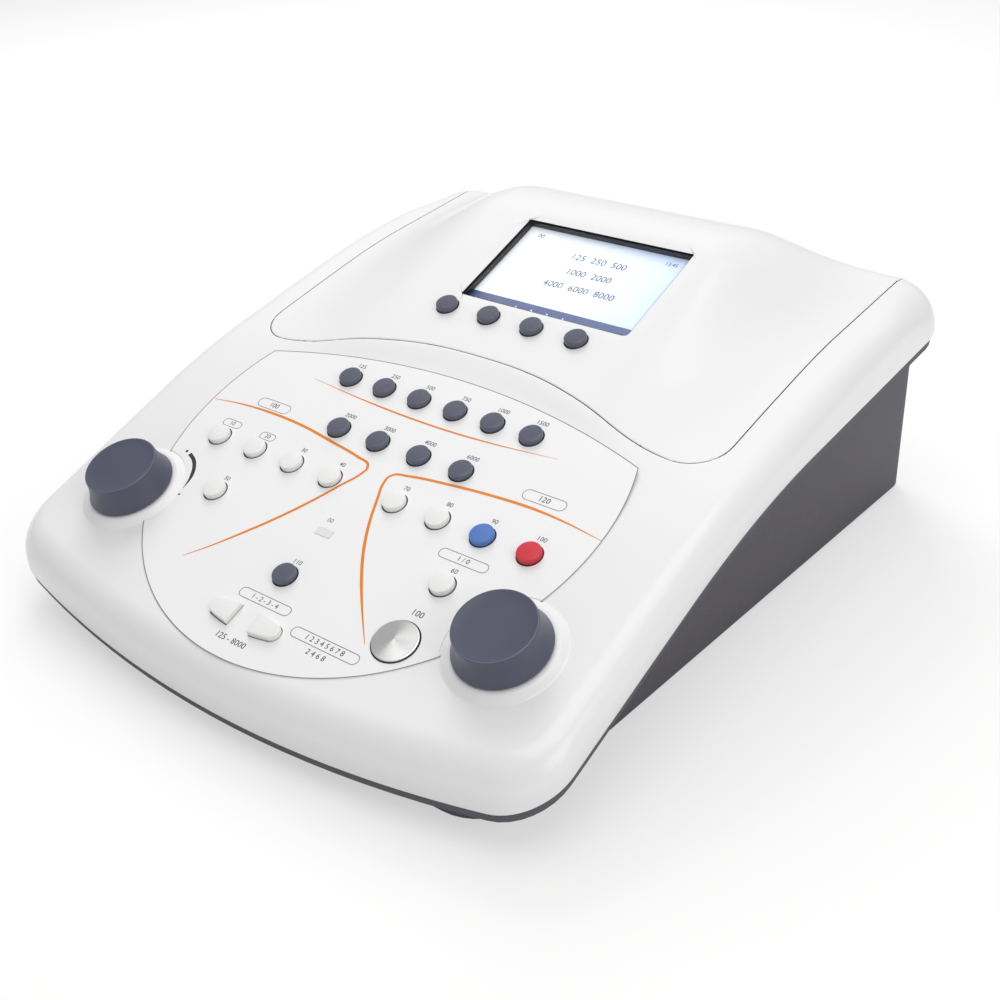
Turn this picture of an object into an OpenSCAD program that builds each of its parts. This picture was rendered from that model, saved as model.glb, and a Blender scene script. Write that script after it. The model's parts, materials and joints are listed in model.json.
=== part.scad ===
// Desk audiometer: a wedge-shaped console with a white cover over a dark base,
// a sloping keypad with two rotary knobs, and a small colour display.
// Origin: centre of the footprint, on the surface the feet stand on.
// X to the right, Y to the back, Z up. All sizes in millimetres.

/* [Body] */
// Width of the white cover
body_w = 330; // [310:1:350]
// Depth of the white cover, from its front arc to its back edge
body_d = 384; // [372:1:400]
// Slope of the keypad and display, in degrees
panel_slope = 20; // [19:0.5:21]
// Height of the keypad surface at the middle of the knobs
knob_line_h = 55.8; // [54:0.1:60]
// Distance from the front arc to the line through both knobs
knob_line_y = 63.4; // [60:0.1:68]
// Thickness of the cover's wall
cover_wall = 2.5; // [2:0.1:3]
// Radius of the arc of the front edge, seen from above
front_arc_r = 690; // [500:10:1000]
// Radius of the cover's corners, seen from above
corner_r = 28; // [24:1:34]
// Radius of the cover's rounded upper edge
edge_r = 12; // [10:1:14]

/* [Cover side] */
// Height of the cover's skirt below the keypad surface
skirt_h = 18; // [17:0.5:20]
// Extra depth of the skirt at the middle of the front
nose_drop = 2; // [0:0.25:3]
// Slope of the skirt's lower edge towards the back, in degrees
rear_slope = 5; // [4.5:0.25:6]
// Height of the skirt's lower edge at the back
rear_edge_h = 97; // [95:0.5:100]
// Length over which the lower edge bends from the front slope to the rear slope
bend_len = 110; // [90:5:120]
// Height of the cover's shoulders above the skirt's lower edge, at the back
shoulder_h = 25.5; // [24:0.5:28]
// Radius of the shoulders' rounding at the back
rear_round = 23; // [18:1:24]
// Half width of the raised middle that carries the display
crown_half_w = 66; // [66:0.5:70]
// Distance from the back edge to where the display's surface starts to roll down
roll_back = 89.5; // [84:0.5:90]
// Radius of the roll-over at the back
roll_r = 70; // [66:1:71]

/* [Display cover] */
// Distance from the knob line to the front of the display cover, up the slope
seam_v = 141.5; // [140:0.5:144]
// Drop of the display cover's two front lobes below that line
seam_lobe = 21; // [18:0.5:22]
// Half width of the display cover
seam_half_w = 142; // [140:0.5:144]
// Radius of the display cover's front corners
seam_corner_r = 20; // [16:1:22]
// Step up from the keypad surface to the display surface
display_rise = 1.5; // [1:0.1:2]
// Width of the visible gap around the display cover
seam_gap = 0.4; // [0.3:0.05:0.6]
// Width of the tabs that carry the display cover's front edge
tab_w = 8; // [6:0.5:10]
// Length of those tabs on each side of the gap
tab_l = 6; // [5:0.5:8]
// Thickness of those tabs
tab_t = 5; // [4:0.5:6]

/* [Screen] */
// Visible width of the screen
screen_w = 101.4; // [96:0.2:104]
// Visible height of the screen
screen_h = 63.9; // [60:0.1:65]
// Sideways offset of the screen's middle
screen_x = 11; // [9:0.5:12]
// Distance from the knob line to the screen's middle, up the slope
screen_v = 212.9; // [212:0.1:214]
// Depth of the bezel's upper edge below the display surface
bezel_depth = 1.5; // [1.2:0.1:1.8]
// Clearance between the bezel's flange and the cover over it
bezel_gap = 0.3; // [0.25:0.05:0.5]
// Width of the bezel's upright rim
bezel_rim = 0.9; // [0.8:0.1:1.2]
// Width of the bezel's flange under the display cover
bezel_flange = 2.4; // [1.8:0.2:2.6]
// Thickness of the bezel's flange
bezel_t = 2; // [1.6:0.1:2.4]
// Thickness of the clear window
window_t = 1.5; // [1:0.1:2]
// Thickness of the display module
lcd_t = 5; // [4:0.5:6]

/* [Keys] */
// Diameter of a round key
key_d = 11.4; // [10.5:0.1:12]
// Height of a round key above the surface
key_h = 3.4; // [2.5:0.1:4]
// Travel of a key
key_travel = 0.8; // [0.5:0.05:1]
// Gap around a key in its hole
key_gap = 0.35; // [0.25:0.05:0.5]
// Pitch of the six upper keys
top_pitch = 22.8; // [22:0.1:24]
// Distance of the six upper keys from the knob line
top_v = 105.2; // [103:0.1:107]
// Pitch of the four middle keys
mid_pitch = 25.7; // [24:0.1:27]
// Distance of the four middle keys from the knob line
mid_v = 73.8; // [72:0.1:76]
// Pitch of the keys in the long row
row_pitch = 25.6; // [25:0.1:26]
// Distance of the long row's first keys from the centre line
row_x = 20.4; // [19:0.1:22]
// Distance of the long row from the knob line
row_v = 45.7; // [44:0.1:48]
// Distance of the two single outer keys from the knob line
outer_v = 16; // [14:0.5:18]
// Distance of the centre key below the knob line
centre_v = 10; // [8:0.5:12]
// Distance of the minus and plus keys below the knob line
step_v = 37.2; // [36:0.1:38]
// Half length of the oval that the minus and plus keys form
leaf_half_l = 21; // [20:0.5:22]
// Half width of that oval
leaf_half_w = 5.9; // [5.5:0.1:6.2]
// Radius of the oval's rounded ends
leaf_tip_r = 4.1; // [3.8:0.1:4.4]
// Gap between the minus and plus keys
leaf_gap = 14; // [12:0.5:15]
// Diameter of the metal present key
disc_d = 21.2; // [20:0.2:23]
// Sideways place of the metal key
disc_x = 71; // [70:0.5:73]
// Distance of the metal key below the knob line
disc_v = 16.6; // [15:0.2:18]
// Pitch of the four display keys
display_pitch = 27.2; // [26:0.1:28]
// Distance of the display keys from the knob line
display_v = 168.3; // [168:0.1:168.8]

/* [Knobs] */
// Distance of each knob from the centre line
knob_x = 116; // [114:0.5:117]
// Diameter of the knob at its top
knob_top_d = 36.8; // [34:0.2:38]
// Diameter of the knob at its skirt
knob_skirt_d = 43.4; // [42:0.2:45]
// Height of the knob's top above the keypad surface
knob_top_h = 16.6; // [15:0.2:20]
// Height of the conical collar round the knob
collar_h = 2.4; // [2:0.1:3]
// Diameter of the collar at the cover
collar_d = 54; // [50:1:56]
// Diameter of the encoder shaft
shaft_d = 6; // [5:0.1:6.4]
// Radial gap between the shaft and its bush
shaft_gap = 0.05; // [0.03:0.01:0.08]

/* [Keypad] */
// Thickness of the printed overlay
overlay_t = 0.3; // [0.2:0.05:0.4]
// Radius of the overlay's sides and front
overlay_r = 122; // [120:0.5:123]
// Distance of the overlay's rear edge from the knob line
overlay_top_v = 125; // [123:0.5:127]
// Radius of the overlay's rear edge
overlay_top_r = 376; // [340:2:420]
// Thickness of the circuit boards
board_t = 1.6; // [1.2:0.1:2]
// Thickness of the silicone key mat
mat_t = 1.2; // [1:0.1:1.4]

/* [Base] */
// Width of the base at the back
base_back_w = 306; // [300:1:308]
// Width of the base at the front
base_front_w = 280; // [276:1:284]
// Distance from the cover's front arc to the base's front wall
base_front_y = 20; // [19:1:22]
// Distance from the base's back wall to the cover's back edge
base_back_in = 10; // [8:0.5:14]
// Wall of the base
base_wall = 3; // [2.5:0.1:3.5]
// Height of the rubber feet
foot_h = 3; // [2:0.5:5]
// Diameter of the rubber feet
foot_d = 16; // [12:1:20]
// Thickness of the flange under the cover
flange_t = 4; // [3:0.5:5]
// Thickness of the black seal between the cover and the flange
seal_t = 0.6; // [0.5:0.1:1]
// Diameter of the posts that carry the cover
post_d = 8; // [7:0.5:9]
// Diameter of the cover screws
screw_d = 3; // [2.5:0.1:3.5]

/* [Rear sockets] */
// Number of round transducer sockets
jack_count = 6; // [4:1:6]
// Pitch of the transducer sockets
jack_pitch = 22; // [20:0.5:24]
// Diameter of the bore of a transducer socket
jack_bore_d = 6.4; // [6.3:0.05:6.6]

/* [Hidden] */
$fn = 48;

// Colours of the materials
white = [0.94, 0.94, 0.93];
slate = [0.27, 0.28, 0.35];
base_grey = [0.25, 0.24, 0.28];
black = [0.08, 0.08, 0.09];
board_green = [0.10, 0.35, 0.20];
metal = [0.72, 0.72, 0.74];
blue = [0.16, 0.30, 0.70];
red = [0.78, 0.10, 0.15];

// Panel frame: x across, v up the slope from the knob line, w out of the surface
slope_tan = tan(panel_slope);
slope_cos = cos(panel_slope);
function panel_z(y) = knob_line_h + slope_tan * (y - knob_line_y);
function panel_y(v) = knob_line_y + v * slope_cos;
module on_panel() {
  translate([0, knob_line_y - body_d / 2, knob_line_h]) rotate([panel_slope, 0, 0]) children();
}
module place() {
  translate([0, -body_d / 2, 0]) children();
}

// Skirt's lower edge: parallel to the panel at the front, bent by an arc to the rear slope
rear_tan = tan(rear_slope);
function edge_front(y) = panel_z(y) - skirt_h;
function edge_rear(y) = rear_edge_h - rear_tan * (body_d - y);
bend_y = (rear_edge_h - rear_tan * body_d - edge_front(0)) / (slope_tan - rear_tan);
bend_r = bend_len / 2 / tan((panel_slope - rear_slope) / 2);
bend_from = bend_y - bend_len / 2 * cos(panel_slope);
bend_to = bend_y + bend_len / 2 * cos(rear_slope);
function edge_bend(y) =
  edge_front(bend_from) - bend_r * cos(panel_slope)
  + sqrt(pow(bend_r, 2) - pow(y - bend_from - bend_r * sin(panel_slope), 2));
function skirt_line(y) = y < bend_from ? edge_front(y) : y < bend_to ? edge_bend(y) : edge_rear(y);
nose_len = 30;
function edge_z(y) = skirt_line(y) - nose_drop * pow(max(0, 1 - y / nose_len), 1.5);
edge_ys = concat([for (i = [0:6]) nose_len * i / 6],
  [for (i = [0:12]) bend_from + (bend_to - bend_from) * i / 12], [body_d, body_d + 6]);

// Outline of the cover from above, drawn in by a distance
function arc_points(c, r, a0, a1, n) =
  [for (i = [0:n]) [c[0] + r * cos(a0 + (a1 - a0) * i / n), c[1] + r * sin(a0 + (a1 - a0) * i / n)]];
front_corner_y = front_arc_r - sqrt(pow(front_arc_r - corner_r, 2) - pow(body_w / 2 - corner_r, 2));
front_angle = asin((body_w / 2 - corner_r) / (front_arc_r - corner_r));
function cover_outline(in) = concat(
  arc_points([0, front_arc_r], front_arc_r - in, 270 - front_angle, 270 + front_angle, 20),
  arc_points([body_w / 2 - corner_r, front_corner_y], corner_r - in, front_angle - 90, 0, 8),
  arc_points([body_w / 2 - corner_r, body_d - corner_r], corner_r - in, 0, 90, 8),
  arc_points([corner_r - body_w / 2, body_d - corner_r], corner_r - in, 90, 180, 8),
  arc_points([corner_r - body_w / 2, front_corner_y], corner_r - in, 180, 270 - front_angle, 8));

// Distance from a point inside the cover's outline to that outline
function corner_distance(dx, dy) = corner_r - norm([max(corner_r - dx, 0), max(corner_r - dy, 0)]);
function front_distance(x, y) = front_arc_r - norm([x, y - front_arc_r]);
function near_front_corner(px, py) = py < 0 && sin(front_angle) * py + cos(front_angle) * px > 0;
function outline_distance(x, y) = min(
  corner_distance(body_w / 2 - abs(x), body_d - y),
  near_front_corner(abs(x) - body_w / 2 + corner_r, y - front_corner_y)
    ? corner_r - norm([abs(x) - body_w / 2 + corner_r, y - front_corner_y])
    : min(front_distance(x, y), body_w / 2 - abs(x)));
function edge_drop(d, r) = d >= r ? 0 : d <= 0 ? r : r - sqrt(pow(r, 2) - pow(r - d, 2));

// Upper surface: the middle follows the panel and rolls over to the back,
// the shoulders follow the skirt, and a smooth blend joins them
ramp_from = panel_y(seam_v - 15);
ramp_to = panel_y(seam_v - 3);
function ramp(y) = display_rise / slope_cos * min(1, max(0, (y - ramp_from) / (ramp_to - ramp_from)));
roll_start_y = body_d - roll_back;
roll_y = roll_start_y + roll_r * sin(panel_slope);
roll_z = panel_z(roll_start_y) + display_rise / slope_cos - roll_r * slope_cos;
function middle_z(y) = y < roll_start_y ? panel_z(y) + ramp(y)
  : roll_z + sqrt(pow(roll_r, 2) - pow(y - roll_y, 2));
shoulder_from = body_d - 194;
shoulder_run = 90;
function shoulder_lift(y) =
  skirt_h + (shoulder_h - skirt_h) * min(1, max(0, (y - shoulder_from) / shoulder_run));
function shoulder_z(y) = skirt_line(y) + shoulder_lift(y);
function crown_weight(x) = abs(x) <= crown_half_w ? 1 : abs(x) >= seam_half_w ? 0
  : 0.5 + 0.5 * cos(180 * (abs(x) - crown_half_w) / (seam_half_w - crown_half_w));
function surface_z(x, y) = shoulder_z(y) + (middle_z(y) - shoulder_z(y)) * crown_weight(x);
rear_half_from = body_d - 184;
rear_round_from = body_d - 69;
rear_round_run = 45;
function rear_share(y) = 0.5 - 0.5 * cos(180 * min(1, max(0, (y - rear_round_from) / rear_round_run)));
function edge_round(y) = edge_r + (rear_round - edge_r) * rear_share(y);
function edge_share(x, y) = y < rear_half_from ? 1 : 1 - crown_weight(x);
function cover_z(x, y, in) = surface_z(x, y) - in / slope_cos
  - edge_share(x, y) * edge_drop(outline_distance(x, y) - in, edge_round(y) - in);

// Grid of the cover: columns at fixed parts of the half width, rows between the outline's front and back
half_in = [corner_r, 19, 12, 7, 3.5, 1.2, 0];
blend_step = (body_w / 2 - corner_r - crown_half_w) / 4;
half_xs = concat([for (i = [0:3]) crown_half_w + blend_step * i], [for (d = half_in) body_w / 2 - d]);
grid_xs = concat([for (i = [len(half_xs) - 1:-1:0]) -half_xs[i]], half_xs);
front_turn_x = sin(front_angle);
row_front = front_y(crown_half_w, 0);
edge_steps = [0, 1.2, 4, 12];
middle_ys = concat([nose_len, (nose_len + bend_from) / 2],
  [for (i = [0:3]) bend_from + (ramp_from - 6 - bend_from) * i / 3],
  [ramp_from, ramp_to, ramp_to + 24, (ramp_to + 24 + roll_start_y) / 2],
  [for (i = [0:6]) roll_start_y + (body_d - edge_r - roll_start_y) * i / 7]);
rows = concat([for (d = edge_steps) [d, 0]],
  [for (y = middle_ys) [edge_r, (y - row_front - edge_r) / (body_d - row_front - 2 * edge_r)]],
  [for (i = [len(edge_steps) - 1:-1:0]) [-edge_steps[i], 1]]);
function front_y(x, in) = abs(x) < (front_arc_r - in) * front_turn_x
  ? front_arc_r - sqrt(pow(front_arc_r - in, 2) - pow(x, 2))
  : front_corner_y - sqrt(max(0, pow(corner_r - in, 2) - pow(abs(x) - body_w / 2 + corner_r, 2)));
function back_y(x, in) = abs(x) < body_w / 2 - corner_r ? body_d - in
  : body_d - corner_r + sqrt(max(0, pow(corner_r - in, 2) - pow(abs(x) - body_w / 2 + corner_r, 2)));
function row_y(row, y0, y1) = row[1] == 0 ? y0 + row[0] : row[1] == 1 ? y1 + row[0]
  : y0 + edge_r + (y1 - y0 - 2 * edge_r) * row[1];
function grid_point(x, row, in) =
  let(y = row_y(row, front_y(x, in), back_y(x, in))) [x, y, cover_z(x, y, in)];
function grid_points(in) =
  [for (row = rows) for (x = grid_xs) grid_point(x * (1 - 2 * in / body_w), row, in)];
function on_edge(p) = [p[0], p[1], edge_z(p[1])];

// Shell of the whole cover as one closed mesh
module cover_shell() {
  nx = len(grid_xs);
  ny = len(rows);
  n = nx * ny;
  outer = grid_points(0);
  inner = grid_points(cover_wall);
  ring = concat([for (i = [0:nx - 1]) i], [for (j = [1:ny - 1]) j * nx + nx - 1],
    [for (i = [nx - 2:-1:0]) (ny - 1) * nx + i], [for (j = [ny - 2:-1:1]) j * nx]);
  m = len(ring);
  top_faces = [for (j = [0:ny - 2]) for (i = [0:nx - 2]) for (t = [0, 1])
    t == 0 ? [j * nx + i, (j + 1) * nx + i, (j + 1) * nx + i + 1]
      : [j * nx + i, (j + 1) * nx + i + 1, j * nx + i + 1]];
  under_faces = [for (f = top_faces) [f[0] + n, f[2] + n, f[1] + n]];
  wall_faces = [for (k = [0:m - 1]) for (f = let(l = (k + 1) % m, a = ring[k], b = ring[l], o = 2 * n) [
    [a, b, o + l], [a, o + l, o + k],
    [a + n, o + m + k, o + m + l], [a + n, o + m + l, b + n],
    [o + k, o + l, o + m + l], [o + k, o + m + l, o + m + k]]) f];
  place() polyhedron(
    concat(outer, inner, [for (k = ring) on_edge(outer[k])], [for (k = ring) on_edge(inner[k])]),
    concat(top_faces, under_faces, wall_faces));
}

// Region below the skirt's lower edge, lowered by a distance
module below_edge(down) {
  place() rotate([90, 0, 90]) translate([0, 0, -body_w])
    linear_extrude(2 * body_w)
      polygon(concat([[-6, -5]], [for (y = edge_ys) [y, edge_z(y) - down]], [[body_d + 6, -5]]));
}

// Prism on the cover's outline, drawn in by a distance
module outline_prism(in, h) {
  place() linear_extrude(h) polygon(cover_outline(in));
}

// Outline of the display cover from above
seam_lobe_y = panel_y(seam_v - seam_lobe);
seam_side_y = seam_lobe_y + seam_corner_r;
lobe_x = seam_half_w - seam_corner_r;
function seam_front_y(x) =
  panel_y(seam_v - seam_lobe * pow(sin(90 * pow(min(1, abs(x) / lobe_x), 1.3)), 2));
function seam_line(in, end_y) = concat(
  [[-seam_half_w + in, end_y]],
  arc_points([-lobe_x, seam_side_y], seam_corner_r - in, 180, 262, 7),
  [for (i = [-11:11]) [lobe_x * i / 12, seam_front_y(lobe_x * i / 12) + in]],
  arc_points([lobe_x, seam_side_y], seam_corner_r - in, 278, 360, 7),
  [[seam_half_w - in, end_y]]);
module seam_prism(in) {
  place() linear_extrude(220) polygon(seam_line(in, body_d + 10));
}

// Tab under the seam: joined to the cover's wall in front, it carries the display cover behind
function seam_front_v(x) = (seam_front_y(x) - knob_line_y) / slope_cos;
module seam_tab(x) {
  near = seam_front_v(abs(x) + tab_w / 2);
  far = seam_front_v(abs(x) - tab_w / 2);
  under = ramp(panel_y(near)) * slope_cos - cover_wall - 0.03;
  on_panel() {
    translate([x - tab_w / 2, near - tab_l, -tab_t]) cube([tab_w, tab_l - seam_gap - 0.4, tab_t - 0.3]);
    translate([x - tab_w / 2, near - tab_l, -tab_t])
      cube([tab_w, tab_l + far - near + tab_l, tab_t + under]);
  }
}

tab_xs = [-44, -14, 14, 44];

// Key places on the panel: name, x, v, colour
top_keys = [for (i = [0:5]) [str("key_top_", i + 1), (i - 2.5) * top_pitch, top_v, slate]];
middle_keys = [for (i = [0:3]) [str("key_middle_", i + 1), (i - 1.5) * mid_pitch, mid_v, slate]];
left_keys = [for (i = [0:3]) [str("key_left_", i + 1), -row_x - (3 - i) * row_pitch, row_v, white]];
right_keys = [
  ["key_right_1", row_x, row_v, white], ["key_right_2", row_x + row_pitch, row_v, white],
  ["key_blue", row_x + 2 * row_pitch, row_v, blue], ["key_red", row_x + 3 * row_pitch, row_v, red]];
outer_keys = [
  ["key_left_5", -row_x - 2 * row_pitch, outer_v, white],
  ["key_right_5", row_x + 2 * row_pitch, outer_v, white]];
centre_keys = [["key_centre", 0, -centre_v, slate]];
panel_keys = concat(top_keys, middle_keys, left_keys, right_keys, outer_keys, centre_keys);
display_keys = [for (i = [0:3])
  [str("key_display_", i + 1), (i - 1.5) * display_pitch, display_v, slate]];

// Levels below a surface: key flange, stem, mat and board
flange_gap = 0.05;
key_flange_t = 1.2;
stem_bottom = cover_wall + 4.5;
mat_dome_top = stem_bottom + key_travel + 0.1;
mat_top = mat_dome_top + 1.1;
board_top = mat_top + mat_t;
board_bottom = board_top + board_t;
key_flange_out = 1.1;
stem_r = 2.4;
stem_h = stem_bottom - cover_wall - key_flange_t / 2;

// Round key: low domed cap, retaining flange under the cover, and stem
module round_key(x, v, up, tint) {
  color(tint) on_panel() translate([x, v, up]) {
    intersection() {
      translate([0, 0, -cover_wall - 0.5]) cylinder(d = key_d, h = cover_wall + 0.5 + key_h);
      translate([0, 0, key_h - 2 * key_d]) sphere(r = 2 * key_d, $fn = 96);
    }
    translate([0, 0, -cover_wall - flange_gap - key_flange_t])
      cylinder(r = key_d / 2 + key_flange_out, h = key_flange_t);
    translate([0, 0, -stem_bottom]) cylinder(r = stem_r, h = stem_h);
  }
}

// Metal key: shallow turned cone
module present_key() {
  cone_h = 1.5;
  rim_h = 1.3;
  color(metal) on_panel() translate([disc_x, -disc_v, 0]) {
    translate([0, 0, -cover_wall - 0.5]) cylinder(d = disc_d, h = cover_wall + 0.5 + rim_h);
    translate([0, 0, rim_h - 0.1]) cylinder(d1 = disc_d - 0.6, d2 = 0.8, h = cone_h + 0.1);
    translate([0, 0, -cover_wall - flange_gap - key_flange_t])
      cylinder(r = disc_d / 2 + key_flange_out, h = key_flange_t);
    translate([0, 0, -stem_bottom]) cylinder(r = stem_r, h = stem_h);
  }
}

// Half of an oval with rounded ends, made smaller or larger by a distance
leaf_tip_x = leaf_half_l - leaf_tip_r;
leaf_r = (pow(leaf_tip_x, 2) + pow(leaf_half_w, 2) - pow(leaf_tip_r, 2))
  / (2 * (leaf_half_w - leaf_tip_r));
leaf_turn = asin(leaf_tip_x / (leaf_r - leaf_tip_r));
function leaf_arc(out) =
  let(r = leaf_r + out, near = asin((leaf_gap / 2 - out) / r))
  [for (i = [0:8]) let(a = near + (leaf_turn - near) * i / 8)
    [r * sin(a), leaf_half_w - leaf_r + r * cos(a)]];
function leaf_tip(out) =
  [for (i = [1:9]) let(a = leaf_turn + (90 - leaf_turn) * i / 9)
    [leaf_tip_x + (leaf_tip_r + out) * sin(a), (leaf_tip_r + out) * cos(a)]];
function leaf_upper(out) = concat(leaf_arc(out), leaf_tip(out));
function leaf_lower(out) =
  let(upper = leaf_upper(out))
  [for (i = [len(upper) - 2:-1:0]) [upper[i][0], -upper[i][1]]];
module half_leaf(side, out, z0, h) {
  mirror([side > 0 ? 0 : 1, 0, 0]) translate([0, 0, z0]) linear_extrude(h)
    polygon(concat(leaf_upper(out), leaf_lower(out)));
}
leaf_h = 3;
leaf_stem_x = (leaf_gap / 2 + leaf_half_l) / 2;
module leaf_key(side) {
  color(white) on_panel() translate([0, -step_v, 0]) {
    half_leaf(side, 0, -cover_wall - 0.5, cover_wall + 0.5 + leaf_h);
    half_leaf(side, key_flange_out, -cover_wall - flange_gap - key_flange_t, key_flange_t);
    translate([side * leaf_stem_x, 0, -stem_bottom]) cylinder(r = stem_r, h = stem_h);
  }
}

// Knob: flared skirt, dished top, hub on the shaft, hollow underneath
knob_bottom = collar_h + 0.6;
module knob(side) {
  top_r = knob_top_d / 2;
  skirt_r = knob_skirt_d / 2;
  knob_wall = 2.2;
  roof_t = 3.2;
  color(slate) on_panel() translate([side * knob_x, 0, 0]) rotate_extrude($fn = 96)
    polygon([
      [shaft_d / 2 + 0.02, knob_bottom + 2], [shaft_d / 2 + 0.02, shaft_top + 0.1], [0, shaft_top + 0.1],
      [0, knob_top_h - 0.7], [top_r - 2.2, knob_top_h - 0.5],
      [top_r - 0.9, knob_top_h], [top_r - 0.3, knob_top_h - 0.2],
      [top_r, knob_top_h - 0.8], [top_r + 0.35, knob_top_h - 4], [top_r + 1, knob_top_h - 7.5],
      [skirt_r - 0.9, knob_bottom + 2.4], [skirt_r - 0.1, knob_bottom + 1], [skirt_r, knob_bottom + 0.4],
      [skirt_r - 0.3, knob_bottom], [skirt_r - knob_wall, knob_bottom],
      [top_r - knob_wall, knob_top_h - roof_t], [hub_r, knob_top_h - roof_t], [hub_r, knob_bottom + 2]]);
}
shaft_top = knob_top_h - 3.6;
shaft_bottom = 8;
hub_r = shaft_d / 2 + 3.2;
module shaft(side) {
  color(metal) on_panel() translate([side * knob_x, 0, -shaft_bottom])
    cylinder(d = shaft_d, h = shaft_bottom + shaft_top);
}
bush_r = shaft_d / 2 + 1.2;
bush_top = 1.6;
encoder_w = 14;
encoder_top = 4;
module encoder(side) {
  color([0.35, 0.36, 0.38]) on_panel() translate([side * knob_x, 0, 0]) difference() {
    union() {
      translate([-encoder_w / 2, -encoder_w / 2, -board_top])
        cube([encoder_w, encoder_w, board_top - encoder_top]);
      translate([0, 0, -encoder_top - 0.2]) cylinder(r = bush_r, h = encoder_top + 0.2 + bush_top);
    }
    translate([0, 0, -shaft_bottom - 0.4])
      cylinder(r = shaft_d / 2 + shaft_gap, h = shaft_bottom + bush_top + 1);
  }
}

// Posts that join the covers to the base: x and distance from the front
cover_posts = [for (p = [[50, 38], [131, 90], [131, 158]]) for (s = [-1, 1]) [s * p[0], p[1]]];
rear_posts = [for (p = [[128, 230], [128, 335]]) for (s = [-1, 1]) [s * p[0], p[1]]];
posts = concat(cover_posts, rear_posts);
post_split = 26;
screw_hole_r = screw_d / 2 + 0.2;
thread_r = screw_d / 2 - 0.1;
// Screw posts under the keypad: x and v
keypad_posts = [[-84, 88], [84, 88], [0, 88], [-84, 30], [84, 30], [-30, 18], [30, 18], [-34, -22], [34, -22]];
keypad_post_r = 2.6;
keypad_thread_r = 1;
display_posts = [for (i = [-1, 1]) [i * display_pitch, display_v]];

module post(p) {
  r = post_d / 2;
  top = min([for (dx = [-r, r]) for (dy = [-r, r]) surface_z(p[0] + dx, p[1] + dy)]) - 0.4;
  place() translate([p[0], p[1], post_split]) cylinder(r = r, h = top - post_split);
}
module post_thread(p) {
  place() translate([p[0], p[1], post_split - 1]) cylinder(r = thread_r, h = 14);
}
module key_hole(k, up) {
  on_panel() translate([k[1], k[2], up - cover_wall - 1])
    cylinder(r = key_d / 2 + key_gap, h = cover_wall + 3);
}

// White cover over the keypad and the sides
module top_cover() {
  color(white) difference() {
    union() {
      difference() {
        cover_shell();
        seam_prism(-seam_gap);
      }
      for (x = tab_xs) seam_tab(x);
      for (p = cover_posts) post(p);
      for (p = keypad_posts) on_panel() translate([p[0], p[1], -board_top])
        cylinder(r = keypad_post_r, h = board_top - 1);
      for (s = [-1, 1]) on_panel() translate([s * knob_x, 0, -0.5])
        cylinder(d1 = collar_d + 1.25, d2 = collar_d - 2.5 * collar_h, h = collar_h + 0.5);
    }
    for (p = cover_posts) post_thread(p);
    for (p = keypad_posts) on_panel() translate([p[0], p[1], -board_top - 1])
      cylinder(r = keypad_thread_r, h = 6);
    for (k = panel_keys) key_hole(k, 0);
    on_panel() translate([disc_x, -disc_v, -cover_wall - 1])
      cylinder(r = disc_d / 2 + key_gap, h = cover_wall + 3);
    for (side = [-1, 1]) on_panel() translate([0, -step_v, 0])
      half_leaf(side, key_gap, -cover_wall - 1, cover_wall + 3);
    for (s = [-1, 1]) on_panel() translate([s * knob_x, 0, -cover_wall - 3])
      cylinder(r = bush_r + 0.1, h = 10);
    panel_block(0, lens_v, -cover_wall - 1, lens_w + 0.2, lens_h + 0.2, cover_wall + 2);
  }
}

// White cover round the screen
module display_cover() {
  color(white) difference() {
    union() {
      intersection() {
        cover_shell();
        seam_prism(0);
      }
      for (p = rear_posts) post(p);
      for (p = display_posts) on_panel() translate([p[0], p[1], display_rise - board_top])
        cylinder(r = 2.2, h = board_top - 1);
    }
    for (p = rear_posts) post_thread(p);
    for (k = display_keys) key_hole(k, display_rise);
    for (p = display_posts) on_panel() translate([p[0], p[1], display_rise - board_top - 1])
      cylinder(r = keypad_thread_r, h = 6);
    panel_block(screen_x, screen_v, -cover_wall - 1, rim_w + 0.2, rim_h + 0.2, cover_wall + 6);
  }
}

// Black bezel between the cover and the screen
rim_w = screen_w + 2 * bezel_rim;
rim_h = screen_h + 2 * bezel_rim;
bezel_top = display_rise - cover_wall - bezel_gap;
module panel_block(x, v, w0, size_x, size_v, size_w) {
  on_panel() translate([x - size_x / 2, v - size_v / 2, w0]) cube([size_x, size_v, size_w]);
}
module display_bezel() {
  color(black) difference() {
    union() {
      panel_block(screen_x, screen_v, bezel_top - bezel_t,
        rim_w + 2 * bezel_flange, rim_h + 2 * bezel_flange, bezel_t);
      panel_block(screen_x, screen_v, bezel_top - bezel_t,
        rim_w, rim_h, bezel_t + cover_wall - bezel_depth);
    }
    panel_block(screen_x, screen_v, bezel_top - bezel_t - 1, screen_w, screen_h, bezel_t + cover_wall + 2);
  }
}
window_top = bezel_top - bezel_t;
module display_window() {
  color([0.75, 0.80, 0.88])
    panel_block(screen_x, screen_v, window_top - window_t, rim_w + 4, rim_h + 4, window_t);
}
lcd_top = window_top - window_t;
module lcd_module() {
  color([0.55, 0.60, 0.70]) panel_block(screen_x, screen_v, lcd_top - lcd_t, rim_w + 6, rim_h + 6, lcd_t);
}

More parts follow.
